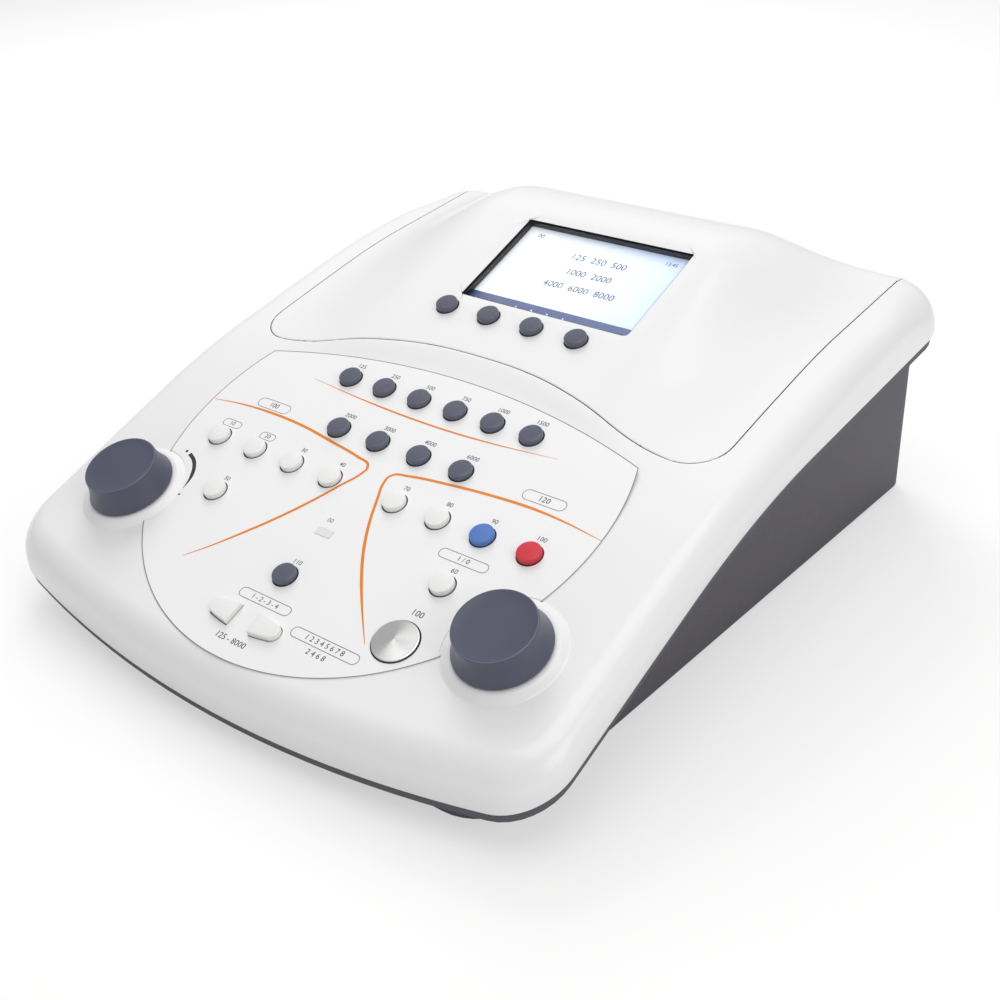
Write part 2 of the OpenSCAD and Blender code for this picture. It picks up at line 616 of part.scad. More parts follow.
// Board and mat under the four display keys
display_strip_w = 3 * display_pitch + 20;
display_strip_h = 12.8;
module display_key_board() {
  color(board_green) difference() {
    panel_block(0, display_v, display_rise - board_bottom, display_strip_w, display_strip_h, board_t);
    for (p = display_posts) on_panel() translate([p[0], p[1], display_rise - board_bottom - 1])
      cylinder(r = keypad_thread_r + 0.2, h = board_t + 2);
  }
}
module dome(x, v, up) {
  on_panel() translate([x, v, up - mat_top - 0.05])
    cylinder(r1 = 4.2, r2 = 3, h = mat_top - mat_dome_top + 0.05);
}
module display_key_mat() {
  color([0.75, 0.75, 0.75]) difference() {
    union() {
      panel_block(0, display_v, display_rise - board_top, display_strip_w, display_strip_h, mat_t);
      for (k = display_keys) dome(k[1], k[2], display_rise);
    }
    for (p = display_posts) on_panel() translate([p[0], p[1], display_rise - board_top - 1])
      cylinder(r = 2.5, h = mat_t + 4);
  }
}

// Outline shared by the keypad board and its mat
keypad_half_w = 126;
keypad_back_v = 116;
keypad_front_v = -50;
module keypad_plate(w0, t, post_hole) {
  difference() {
    intersection() {
      panel_block(0, (keypad_back_v + keypad_front_v) / 2, w0,
        2 * keypad_half_w, keypad_back_v - keypad_front_v, t);
      on_panel() translate([0, 130, w0 - 1]) cylinder(r = 184, h = t + 2, $fn = 120);
    }
    for (p = keypad_posts) on_panel() translate([p[0], p[1], w0 - 1])
      cylinder(r = post_hole, h = t + 2);
    for (p = posts) place() translate([p[0], p[1], 0]) cylinder(d = post_d + 2, h = 130);
  }
}
module keypad_board() {
  color(board_green) keypad_plate(-board_bottom, board_t, keypad_thread_r + 0.2);
}
module key_mat() {
  color([0.75, 0.75, 0.75]) difference() {
    union() {
      keypad_plate(-board_top, mat_t, keypad_post_r + 0.3);
      for (k = panel_keys) dome(k[1], k[2], 0);
      dome(disc_x, -disc_v, 0);
      for (s = [-1, 1]) dome(s * leaf_stem_x, -step_v, 0);
    }
    for (s = [-1, 1]) panel_block(s * knob_x, 0, -board_top - 1, encoder_w + 1, encoder_w + 1, mat_t + 2);
    panel_block(0, lens_v, -board_top - 1, lens_w + 1, lens_h + 1, mat_t + 2);
  }
}

// Pale light bar on the centre line
lens_w = 9;
lens_h = 4;
lens_v = 17.6;
module indicator_lens() {
  color([0.86, 0.87, 0.88]) panel_block(0, lens_v, -board_top, lens_w, lens_h, board_top + overlay_t + 0.1);
}

// Printed overlay that lies on the keypad surface
module keypad_overlay() {
  hole_r = key_d / 2 + key_gap + 0.1;
  color([0.96, 0.96, 0.96]) difference() {
    on_panel() intersection() {
      translate([0, overlay_r - 58, 0]) cylinder(r = overlay_r, h = overlay_t, $fn = 240);
      translate([0, overlay_top_v - overlay_top_r, 0])
        cylinder(r = overlay_top_r, h = overlay_t, $fn = 480);
    }
    for (k = panel_keys) on_panel() translate([k[1], k[2], -1]) cylinder(r = hole_r, h = 3);
    on_panel() translate([disc_x, -disc_v, -1]) cylinder(r = disc_d / 2 + key_gap + 0.1, h = 3);
    for (side = [-1, 1]) on_panel() translate([0, -step_v, 0]) half_leaf(side, key_gap + 0.1, -1, 3);
    for (s = [-1, 1]) on_panel() translate([s * knob_x, 0, -1]) cylinder(r = collar_d / 2 + 0.5, h = 3);
    panel_block(0, lens_v, -1, lens_w + 0.3, lens_h + 0.3, 3);
  }
}

// Outline of the base from above: narrower at the front, drawn in by a distance
base_corner_r = 12;
base_back_y = body_d - base_back_in;
base_lean = atan((base_back_w - base_front_w) / 2 / (base_back_y - base_front_y));
function base_outline(in) = concat(
  arc_points([-(base_front_w / 2 - 2 * base_corner_r), base_front_y + 2 * base_corner_r],
    2 * base_corner_r - in, 180 + base_lean, 270, 8),
  arc_points([base_front_w / 2 - 2 * base_corner_r, base_front_y + 2 * base_corner_r],
    2 * base_corner_r - in, 270, 360 - base_lean, 8),
  arc_points([base_back_w / 2 - base_corner_r, base_back_y - base_corner_r],
    base_corner_r - in, -base_lean, 90, 8),
  arc_points([base_corner_r - base_back_w / 2, base_back_y - base_corner_r],
    base_corner_r - in, 90, 180 + base_lean, 8));
module base_prism(in, z0, h) {
  place() translate([0, 0, z0]) linear_extrude(h) polygon(base_outline(in));
}
floor_top = foot_h + base_wall;
seal_gap = 0.35;
speaker_place = [48 - base_front_w / 2, 118];
board_w = 230;
board_l = 170;
board_y = body_d - 49 - board_l;
speaker_r = 26;
board_posts = [for (x = [10 - board_w / 2, board_w / 2 - 10]) for (y = [10, board_l - 10]) [x, board_y + y]];
board_level = floor_top + 10;
window_z = 34;
panel_plate_w = 236;
panel_plate_h = 42;
module base_housing() {
  color(base_grey) difference() {
    union() {
      intersection() {
        below_edge(seal_gap + seal_t);
        difference() {
          base_prism(0, foot_h, 200);
          base_prism(base_wall, floor_top, 200);
        }
      }
      for (p = posts) place() translate([p[0], p[1], foot_h])
        cylinder(d = post_d, h = post_split - foot_h);
      difference() {
        intersection() {
          below_edge(seal_gap + seal_t);
          outline_prism(1.5, 160);
        }
        below_edge(seal_gap + seal_t + flange_t);
        base_prism(base_wall, foot_h, 200);
      }
      for (p = board_posts) place() translate([p[0], p[1], foot_h])
        cylinder(d = 7, h = board_level - foot_h);
      place() translate([speaker_place[0], speaker_place[1], foot_h]) difference() {
        cylinder(r = speaker_r + 2.2, h = base_wall + 5);
        translate([0, 0, base_wall]) cylinder(r = speaker_r + 0.2, h = 8);
      }
    }
    for (p = posts) place() translate([p[0], p[1], 0]) {
      cylinder(r = screw_hole_r, h = 60);
      cylinder(r = screw_d + 0.3, h = foot_h + 4);
    }
    for (p = board_posts) place() translate([p[0], p[1], floor_top])
      cylinder(r = keypad_thread_r, h = 20);
    for (i = [-3:3]) for (j = [-3:3]) if (norm([i, j]) < 3.3)
      place() translate([speaker_place[0] + i * 6, speaker_place[1] + j * 6, 0])
        cylinder(r = 1.6, h = 20);
    place() translate([-panel_plate_w / 2 + 6, base_back_y - base_wall - 1, window_z - panel_plate_h / 2 + 5])
      cube([panel_plate_w - 12, base_wall + 2, panel_plate_h - 10]);
    place() translate([-panel_plate_w / 2, base_back_y - 1.2, window_z - panel_plate_h / 2])
      cube([panel_plate_w, 5, panel_plate_h]);
    for (p = feet) place() translate([p[0], p[1], 0]) cylinder(d = foot_d + 0.4, h = foot_h + 1);
  }
}

// Black seal that shows as a thin dark line under the cover
module edge_seal() {
  color(black) difference() {
    intersection() {
      outline_prism(1, 160);
      below_edge(seal_gap);
    }
    outline_prism(6, 160);
    below_edge(seal_gap + seal_t);
  }
}

// Feet: x and distance from the front
feet = [[-112, 66], [112, 66], [-124, 350], [124, 350]];
module rubber_feet() {
  color(black) for (p = feet) place() translate([p[0], p[1], 0]) cylinder(d = foot_d, h = foot_h + 1);
}

// Rear plate and its sockets
plate_t = 1.2;
jack_z = window_z + 4;
usb_x = 62;
inlet_x = 92;
jack_r = 7;
function jack_x(i) = -88 + i * jack_pitch;
module rear_panel() {
  color([0.30, 0.30, 0.33]) place() difference() {
    translate([-panel_plate_w / 2 + 0.2, base_back_y - plate_t, window_z - panel_plate_h / 2 + 0.2])
      cube([panel_plate_w - 0.4, plate_t, panel_plate_h - 0.4]);
    for (i = [0:jack_count - 1]) translate([jack_x(i), base_back_y - 5, jack_z])
      rotate([-90, 0, 0]) cylinder(r = 5, h = 10);
    translate([usb_x - 5, base_back_y - 5, jack_z - 2.8]) cube([10, 10, 5.6]);
    translate([inlet_x, base_back_y - 5, jack_z]) rotate([-90, 0, 0]) cylinder(r = 5, h = 10);
  }
}
module jack_sockets() {
  color([0.14, 0.14, 0.15]) place() for (i = [0:jack_count - 1]) translate([jack_x(i), base_back_y, jack_z])
    difference() {
    union() {
      translate([0, -5, 0]) rotate([-90, 0, 0]) cylinder(r = 4.8, h = 5);
      rotate([-90, 0, 0]) cylinder(r = jack_r, h = 2.4);
      translate([-8, -24, -8]) cube([16, 24 - plate_t, 16]);
    }
    translate([0, -21, 0]) rotate([-90, 0, 0]) cylinder(d = jack_bore_d, h = 30);
  }
}
module usb_socket() {
  color(metal) place() translate([usb_x, base_back_y, jack_z]) difference() {
    translate([-4.6, -11, -2.4]) cube([9.2, 11.2, 4.8]);
    translate([-3.9, -8, -1.7]) cube([7.8, 10, 3.4]);
  }
}
module power_inlet() {
  color(black) place() translate([inlet_x, base_back_y, jack_z]) {
    difference() {
      union() {
        translate([0, -5, 0]) rotate([-90, 0, 0]) cylinder(r = 4.8, h = 6);
        rotate([-90, 0, 0]) cylinder(r = 6, h = 1.5);
        translate([-6, -15, -6]) cube([12, 15 - plate_t, 12]);
      }
      translate([0, -12, 0]) rotate([-90, 0, 0]) cylinder(r = 2.9, h = 20);
    }
    translate([0, -12.5, 0]) rotate([-90, 0, 0]) cylinder(r = 1, h = 12);
  }
}

// Main circuit board with its larger components
module main_board() {
  color(board_green) place() difference() {
    translate([-board_w / 2, board_y, board_level]) cube([board_w, board_l, board_t]);
    for (p = board_posts) translate([p[0], p[1], board_level - 1])
      cylinder(r = keypad_thread_r + 0.2, h = 4);
  }
  color([0.12, 0.12, 0.13]) place() {
    translate([-30, 230, board_level + board_t]) cube([34, 34, 2.6]);
    translate([22, 235, board_level + board_t]) cube([20, 26, 2]);
    translate([-78, 195, board_level + board_t]) cube([22, 30, 12]);
    for (i = [0:4]) translate([60 + 9 * (i % 3), 195 + 24 * floor(i / 3), board_level + board_t])
      cylinder(r = 4, h = 11);
  }
}

// Round loudspeaker that lets the operator listen in
module monitor_speaker() {
  color([0.18, 0.18, 0.20]) place() translate([speaker_place[0], speaker_place[1], floor_top]) {
    cylinder(r = speaker_r, h = 3);
    translate([0, 0, 3]) cylinder(r1 = speaker_r - 1, r2 = 13, h = 7);
    translate([0, 0, 10]) cylinder(r = 13, h = 7);
  }
}

// Flat cables along their routes, as bands across X
module band(points, x0, width) {
  place() translate([x0, 0, 0]) rotate([90, 0, 90]) linear_extrude(width) polygon(points);
}
keypad_cable_y = panel_y(96);
keypad_cable_top = panel_z(keypad_cable_y) - board_bottom / slope_cos;
display_cable_y = panel_y(214);
display_cable_top = panel_z(display_cable_y) + (lcd_top - lcd_t) / slope_cos;
cable_t = 1;
module drop_cable(y, top, x0, width, foot_y) {
  bottom = board_level + board_t;
  bend_z = (top + bottom) / 2;
  band([
    [y, top], [y, bend_z + 3], [foot_y, bottom + 6], [foot_y, bottom],
    [foot_y + cable_t, bottom], [foot_y + cable_t, bottom + 6.6], [y + cable_t, bend_z + 3.6],
    [y + cable_t, top + slope_tan * cable_t]], x0, width);
}
module keypad_cable() {
  color([0.70, 0.70, 0.72]) drop_cable(keypad_cable_y, keypad_cable_top, -62, 30, 178);
}
module display_cable() {
  color([0.70, 0.70, 0.72]) drop_cable(display_cable_y, display_cable_top, 30, 26, 275);
}

// Screws: shank into the post, head below or above it
module screw(r, len, head_r, head_h) {
  cylinder(r = head_r, h = head_h);
  translate([0, 0, head_h]) cylinder(r = r, h = len);
}
module cover_screws() {
  color(metal) for (p = posts) place() translate([p[0], p[1], foot_h + 4 - 2.2])
    screw(thread_r - 0.02, post_split - foot_h - 4 + 10, screw_d - 0.3, 2.2);
}
module board_screws() {
  color(metal) for (p = board_posts) place() translate([p[0], p[1], board_level + board_t + 1.6])
    mirror([0, 0, 1])
    screw(keypad_thread_r - 0.02, 7, 2.4, 1.6);
}
module keypad_screws() {
  color(metal) {
    for (p = keypad_posts) on_panel() translate([p[0], p[1], -board_bottom - 1.5])
      screw(keypad_thread_r - 0.02, 5.5, 2.3, 1.5);
    for (p = display_posts) on_panel() translate([p[0], p[1], display_rise - board_bottom - 1.5])
      screw(keypad_thread_r - 0.02, 5.5, 2.3, 1.5);
  }
}

top_cover();
display_cover();
keypad_overlay();
base_housing();
edge_seal();
display_window();
display_bezel();
lcd_module();
display_key_board();
display_key_mat();
key_mat();
keypad_board();
main_board();
monitor_speaker();
rear_panel();
jack_sockets();
usb_socket();
power_inlet();
indicator_lens();
keypad_cable();
display_cable();
cover_screws();
board_screws();
keypad_screws();
rubber_feet();
encoder(-1);  // encoder_left
encoder(1);  // encoder_right
shaft(-1);  // shaft_left
shaft(1);  // shaft_right
knob(-1);  // knob_left
knob(1);  // knob_right
present_key();  // key_present
leaf_key(-1);  // key_minus
leaf_key(1);  // key_plus
for (k = panel_keys) {
  round_key(k[1], k[2], 0, k[3]);
}
for (k = display_keys) {
  round_key(k[1], k[2], display_rise, k[3]);
}
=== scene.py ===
"""Desk audiometer: the dressed model, its plain studio and the camera of the photograph."""

from __future__ import annotations

import json
import logging
import math
from dataclasses import dataclass, field
from enum import Enum

import bmesh
import bpy
import numpy as np
from mathutils import Matrix, Vector
from mathutils.geometry import delaunay_2d_cdt

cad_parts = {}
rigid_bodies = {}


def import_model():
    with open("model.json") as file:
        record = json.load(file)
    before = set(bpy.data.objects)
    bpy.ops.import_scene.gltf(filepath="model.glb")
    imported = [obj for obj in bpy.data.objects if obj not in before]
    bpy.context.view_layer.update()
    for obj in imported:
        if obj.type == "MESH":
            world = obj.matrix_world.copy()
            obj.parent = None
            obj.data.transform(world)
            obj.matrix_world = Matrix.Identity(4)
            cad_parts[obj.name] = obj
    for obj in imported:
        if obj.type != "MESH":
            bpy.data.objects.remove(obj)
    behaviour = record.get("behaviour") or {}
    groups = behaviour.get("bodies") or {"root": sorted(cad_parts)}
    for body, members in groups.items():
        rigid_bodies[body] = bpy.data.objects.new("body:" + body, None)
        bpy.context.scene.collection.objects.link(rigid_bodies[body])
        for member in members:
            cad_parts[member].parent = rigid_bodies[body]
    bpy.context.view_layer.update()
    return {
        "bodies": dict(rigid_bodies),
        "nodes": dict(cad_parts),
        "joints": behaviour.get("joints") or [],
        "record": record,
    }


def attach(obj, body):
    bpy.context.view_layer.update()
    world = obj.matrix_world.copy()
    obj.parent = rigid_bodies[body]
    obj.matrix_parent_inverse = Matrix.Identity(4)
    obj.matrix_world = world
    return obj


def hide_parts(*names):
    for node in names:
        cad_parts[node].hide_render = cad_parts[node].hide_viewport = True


LOG = logging.getLogger("audiometer")
MM = 0.001
HALF_DEPTH = 192.0
SAMPLE_STEP = 0.05
FOIL = 0.3
CONSOLE = "console"


# --------------------------------------------------------------------------
# Sizes, in millimetres, in the same frame as the solid model
# --------------------------------------------------------------------------


@dataclass(frozen=True)
class Panel:
    """The sloping plane of the keypad: x across, v up the slope, w out of it."""

    slope: float = math.radians(20.0)
    line_from_front: float = 63.4
    line_h: float = 55.8

    @property
    def line_y(self) -> float:
        """Distance of the knobs' line from the middle of the object."""
        return self.line_from_front - HALF_DEPTH

    def place(self, xvw: np.ndarray) -> np.ndarray:
        """Turn panel points into points of the object's frame.

        Args:
            xvw: Points (n, 3) as x, v, w in millimetres.

        Returns:
            The points (n, 3) in millimetres.
        """
        p = np.asarray(xvw, float).reshape(-1, 3)
        c, s = math.cos(self.slope), math.sin(self.slope)
        return np.column_stack(
            [p[:, 0], self.line_y + p[:, 1] * c - p[:, 2] * s, self.line_h + p[:, 1] * s + p[:, 2] * c]
        )

    def plan(self, loop: np.ndarray, up: float) -> np.ndarray:
        """Panel loop at a height, as seen from above, y from the front arc."""
        p = self.place(at(loop, up))
        return np.column_stack([p[:, 0], p[:, 1] + HALF_DEPTH])

    def height(self, y: np.ndarray) -> np.ndarray:
        """Height of the plane above the desk at a distance y."""
        return self.line_h + math.tan(self.slope) * (y - self.line_y)

    def along(self, y: np.ndarray) -> np.ndarray:
        """Distance v up the slope of a point of the plane at a distance y."""
        return (y - self.line_y) / math.cos(self.slope)

    def normal(self) -> Vector:
        """Direction out of the panel."""
        return Vector((0.0, -math.sin(self.slope), math.cos(self.slope)))


PANEL = Panel()


def smooth(t: np.ndarray) -> np.ndarray:
    """Cosine step from 0 to 1."""
    return 0.5 - 0.5 * np.cos(np.pi * np.clip(t, 0, 1))


@dataclass(frozen=True)
class CoverForm:
    """Outer surface of the white cover, as the solid model has it but without facets."""

    width: float = 330.0
    depth: float = 384.0
    front_arc: float = 690.0
    corner: float = 28.0
    wall: float = 2.5
    edge: float = 12.0
    skirt: float = 18.0
    nose_drop: float = 2.0
    rear_slope: float = math.radians(5.0)
    rear_edge: float = 97.0
    bend: float = 110.0
    shoulder: float = 25.5
    rear_round: float = 23.0
    crown: float = 66.0
    seam_half: float = 142.0
    seam_v: float = 141.5
    seam_lobe: float = 21.0
    seam_corner: float = 20.0
    rise: float = 1.5
    roll_start: float = 294.5
    roll: float = 70.0
    ramp_v: float = 126.0
    ramp_r: float = 376.0
    ramp_high_v: float = 138.5

    @property
    def corner_y(self) -> float:
        """Distance of the front corners' centres from the front arc."""
        r, c = self.front_arc, self.corner
        return r - math.sqrt((r - c) ** 2 - (self.width / 2 - c) ** 2)

    @property
    def turn(self) -> float:
        """Angle at which the front arc meets a corner."""
        return math.asin((self.width / 2 - self.corner) / (self.front_arc - self.corner))

    def skirt_line(self, y: np.ndarray) -> np.ndarray:
        """Height of the skirt's lower edge before the nose drop, y from the front arc."""
        a, b = PANEL.slope, self.rear_slope
        base = PANEL.line_h - math.tan(a) * PANEL.line_from_front - self.skirt
        tb = math.tan(b)
        start = self.rear_edge - tb * self.depth
        meet = (start - base) / (math.tan(a) - tb)
        r = self.bend / 2 / math.tan((a - b) / 2)
        y0, y1 = meet - self.bend / 2 * math.cos(a), meet + self.bend / 2 * math.cos(b)
        front = base + math.tan(a) * y
        arc = base + math.tan(a) * y0 - r * math.cos(a) + np.sqrt(
            np.maximum(r * r - (y - y0 - r * math.sin(a)) ** 2, 0)
        )
        return np.where(y < y0, front, np.where(y < y1, arc, start + tb * y))

    def edge_z(self, y: np.ndarray) -> np.ndarray:
        """Height of the skirt's lower edge, y from the front arc."""
        return self.skirt_line(y) - self.nose_drop * np.maximum(0, 1 - y / 30.0) ** 1.5

    def distance(self, x: np.ndarray, y: np.ndarray) -> np.ndarray:
        """Distance inside the outline, seen from above."""
        c, half = self.corner, self.width / 2
        dx, dy = half - np.abs(x), self.depth - y
        back = c - np.hypot(np.maximum(c - dx, 0), np.maximum(c - dy, 0))
        px, py = np.abs(x) - half + c, y - self.corner_y
        near = (py < 0) & (math.sin(self.turn) * py + math.cos(self.turn) * px > 0)
        front = np.minimum(self.front_arc - np.hypot(x, y - self.front_arc), dx)
        return np.minimum(back, np.where(near, c - np.hypot(px, py), front))

    def crown_weight(self, x: np.ndarray) -> np.ndarray:
        """1 over the raised middle, 0 over the shoulders."""
        return 1 - smooth((np.abs(x) - self.crown) / (self.seam_half - self.crown))

    def ramp(self, x: np.ndarray, y: np.ndarray) -> np.ndarray:
        """Rise of the display surface over the keypad plane, with the crescent-shaped ramp in front of it."""
        v = PANEL.along(y - HALF_DEPTH)
        low = self.ramp_v - self.ramp_r + np.sqrt(self.ramp_r**2 - np.minimum(np.abs(x), 150) ** 2)
        high = np.maximum(self.ramp_high_v - 26.0 * (np.abs(x) / 106.0) ** 1.9, low + 3.0)
        across = 1 - smooth((np.abs(x) - self.crown) / 48.0)
        return self.rise / math.cos(PANEL.slope) * across * np.clip((v - low) / (high - low), 0, 1)

    def height(self, x: np.ndarray, y: np.ndarray) -> np.ndarray:
        """Height of the outer surface, y from the front arc, before small lips.

        Args:
            x: Distances across.
            y: Distances from the front arc.

        Returns:
            Heights above the desk.
        """
        x, y = np.asarray(x, float), np.asarray(y, float)
        ry = self.roll_start + self.roll * math.sin(PANEL.slope)
        step = self.rise / math.cos(PANEL.slope)
        rz = PANEL.height(self.roll_start - HALF_DEPTH) + step - self.roll * math.cos(PANEL.slope)
        rolled = rz + np.sqrt(np.maximum(self.roll**2 - (y - ry) ** 2, 0))
        middle = np.where(y < self.roll_start, PANEL.height(y - HALF_DEPTH) + self.ramp(x, y), rolled)
        lift = self.skirt + (self.shoulder - self.skirt) * smooth((y - 185) / 110)
        shoulder = self.skirt_line(y) + lift
        surface = shoulder + (middle - shoulder) * self.crown_weight(x)
        r = self.edge + (self.rear_round - self.edge) * smooth((y - 315) / 45)
        share = np.where(y < 200, 1.0, 1 - self.crown_weight(x))
        d = np.clip(self.distance(x, y), 0, r)
        return surface - share * (r - np.sqrt(r * r - (r - d) ** 2))

    def upright(self, x: np.ndarray, y: np.ndarray) -> np.ndarray:
        """Unit vectors out of the outer surface, y from the front arc."""
        e = SAMPLE_STEP
        rise_x = (self.height(x + e, y) - self.height(x - e, y)) / (2 * e)
        rise_y = (self.height(x, y + e) - self.height(x, y - e)) / (2 * e)
        out = np.column_stack([-rise_x, -rise_y, np.ones(len(x))])
        return out / np.linalg.norm(out, axis=1, keepdims=True)

    def outward(self, x: np.ndarray, y: np.ndarray) -> np.ndarray:
        """Level unit vectors out of the outline, y from the front arc."""
        e = SAMPLE_STEP
        out = np.column_stack([self.distance(x - e, y) - self.distance(x + e, y),
                               self.distance(x, y - e) - self.distance(x, y + e)])
        return out / np.maximum(np.linalg.norm(out, axis=1, keepdims=True), 1e-9)

    def outline(self, inset: float) -> np.ndarray:
        """Closed outline from above, anticlockwise from the back right.

        Args:
            inset: How far it is drawn in.

        Returns:
            The points (n, 2), y from the front arc.
        """
        h, c, t = self.width / 2, self.corner, self.turn
        n_front, n_corner, n_side, n_back = 120, 14, 90, 96
        low, high = self.corner_y, self.depth - c

        def arc(cx: float, cy: float, r: float, a0: float, a1: float, n: int) -> np.ndarray:
            a = np.linspace(a0, a1, n, endpoint=False)
            return np.column_stack([cx + r * np.cos(a), cy + r * np.sin(a)])

        def straight(x: float, y0: float, y1: float) -> np.ndarray:
            return np.column_stack([np.full(n_side, x), np.linspace(y0, y1, n_side, endpoint=False)])

        back_x = np.linspace(h - c, c - h, n_back, endpoint=False)
        right_angle = math.pi / 2
        front_from, front_to = 3 * right_angle - t, 3 * right_angle + t
        return np.vstack([
            arc(h - c, high, c - inset, 0, right_angle, n_corner),
            np.column_stack([back_x, np.full(n_back, self.depth - inset)]),
            arc(c - h, high, c - inset, right_angle, math.pi, n_corner),
            straight(inset - h, high, low),
            arc(c - h, low, c - inset, math.pi, front_from, n_corner),
            arc(0, self.front_arc, self.front_arc - inset, front_from, front_to, n_front),
            arc(h - c, low, c - inset, front_to, 4 * right_angle, n_corner),
            straight(h - inset, low, high)])

    def seam(self, inset: float) -> np.ndarray:
        """Seam round the display cover, drawn in, from the back right round the front to the back left."""
        lobe = self.seam_half - self.seam_corner
        cos, line = math.cos(PANEL.slope), PANEL.line_from_front
        side_y = line + (self.seam_v - self.seam_lobe) * cos + self.seam_corner

        def arc(cx: float, a0: float, a1: float) -> np.ndarray:
            a = np.radians(np.linspace(a0, a1, 14))
            r = self.seam_corner - inset
            return np.column_stack([cx + r * np.cos(a), side_y + r * np.sin(a)])

        x = np.linspace(lobe, -lobe, 130)[1:-1]
        drop = self.seam_lobe * np.sin(np.pi / 2 * (np.abs(x) / lobe) ** 1.3) ** 2
        front = np.column_stack([x, line + (self.seam_v - drop) * cos + inset])
        y = np.linspace(self.depth, side_y, 80, endpoint=False)
        right = np.column_stack([np.full(80, self.seam_half - inset), y])
        return np.vstack([right, arc(lobe, 0, -84), front, arc(-lobe, -96, -180), (right * [-1, 1])[::-1]])


FORM = CoverForm()


@dataclass(frozen=True)
class KeyPlace:
    """A round key: its node, its place on the panel and its finish."""

    node: str
    x: float
    v: float
    finish: str
    up: float = 0.0


class Layout:
    """Places of everything on the panel, as in the solid model."""

    key_r = 5.7
    key_gap = 0.35
    disc = (71.0, -16.6, 10.6)
    leaf_v = -37.2
    knob_x = 116.0
    bush_r = 4.3
    lens = (0.0, 17.6, 9.0, 4.0)
    screen = (11.0, 212.9, 101.4, 63.9)
    rim = 0.9

    @staticmethod
    def keys() -> list[KeyPlace]:
        """All round keys."""
        out = [KeyPlace(f"key_top_{i + 1}", (i - 2.5) * 22.8, 105.2, "slate") for i in range(6)]
        out += [KeyPlace(f"key_middle_{i + 1}", (i - 1.5) * 25.7, 73.8, "slate") for i in range(4)]
        out += [KeyPlace(f"key_left_{i + 1}", -20.4 - (3 - i) * 25.6, 45.7, "white") for i in range(4)]
        out += [KeyPlace("key_left_5", -71.6, 16.0, "white"), KeyPlace("key_right_5", 71.6, 16.0, "white")]
        for i, (node, finish) in enumerate(
            [("key_right_1", "white"), ("key_right_2", "white"), ("key_blue", "blue"), ("key_red", "red")]
        ):
            out.append(KeyPlace(node, 20.4 + i * 25.6, 45.7, finish))
        out.append(KeyPlace("key_centre", 0.0, -10.0, "slate"))
        out += [KeyPlace(f"key_display_{i + 1}", (i - 1.5) * 27.2, 168.3, "slate", FORM.rise) for i in range(4)]
        return out

    @staticmethod
    def leaf(side: int, out: float) -> np.ndarray:
        """Outline of the minus or plus key in panel x, v, grown by out; convex, anticlockwise.

        Args:
            side: -1 for the minus key, 1 for the plus key.
            out: How far the outline is grown.

        Returns:
            The loop (n, 2).
        """
        half_l, half_w, tip, gap = 21.0, 5.9, 4.1, 14.0
        tip_x = half_l - tip
        r = (tip_x**2 + half_w**2 - tip**2) / (2 * (half_w - tip))
        turn = math.asin(tip_x / (r - tip))
        near = math.asin((gap / 2 - out) / (r + out))
        a = np.linspace(near, turn, 24)
        arc = np.column_stack([(r + out) * np.sin(a), half_w - r + (r + out) * np.cos(a)])
        b = np.linspace(turn, math.pi / 2, 14)[1:]
        end = np.column_stack([tip_x + (tip + out) * np.sin(b), (tip + out) * np.cos(b)])
        upper = np.vstack([arc, end])
        lower = upper[:-1] * [1, -1]
        pts = np.vstack([lower, upper[::-1]])
        if side < 0:
            pts = (pts * [-1, 1])[::-1]
        return pts + [0, Layout.leaf_v]


# --------------------------------------------------------------------------
# Mesh helpers
# --------------------------------------------------------------------------


def make_mesh(name: str, verts: np.ndarray, faces: list, material: bpy.types.Material | None = None,
              sharp: float = 34.0) -> bpy.types.Object:
    """Make an object at the origin from points in millimetres, with its normals turned outwards.

    Args:
        name: Name of the piece.
        verts: Points (n, 3) in millimetres.
        faces: Lists of point numbers.
        material: Finish, if it has one yet.
        sharp: Angle above which an edge stays sharp, in degrees.

    Returns:
        The new object.
    """
    mesh = bpy.data.meshes.new(name)
    mesh.from_pydata((np.asarray(verts, float) * MM).tolist(), [], [list(map(int, f)) for f in faces])
    mesh.validate(clean_customdata=False)
    bm = bmesh.new()
    bm.from_mesh(mesh)
    bmesh.ops.remove_doubles(bm, verts=bm.verts, dist=1e-7)
    bmesh.ops.recalc_face_normals(bm, faces=bm.faces)
    bm.to_mesh(mesh)
    bm.free()
    return finish_mesh(name, mesh, sharp, material)


def finish_mesh(name: str, mesh: bpy.types.Mesh, sharp: float,
                material: bpy.types.Material | None = None) -> bpy.types.Object:
    """Smooth a mesh below an angle and put it in the scene.

    Args:
        name: Name of the piece.
        mesh: The mesh.
        sharp: Angle above which an edge stays sharp, in degrees.
        material: Finish, if it has one yet.

    Returns:
        The new object.
    """
    mesh.polygons.foreach_set("use_smooth", [True] * len(mesh.polygons))
    mesh.set_sharp_from_angle(angle=math.radians(sharp))
    if material is not None:
        mesh.materials.append(material)
    obj = bpy.data.objects.new(name, mesh)
    bpy.context.scene.collection.objects.link(obj)
    return obj


def fixed(obj: bpy.types.Object) -> None:
    """Let a piece ride on the console."""
    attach(obj, CONSOLE)


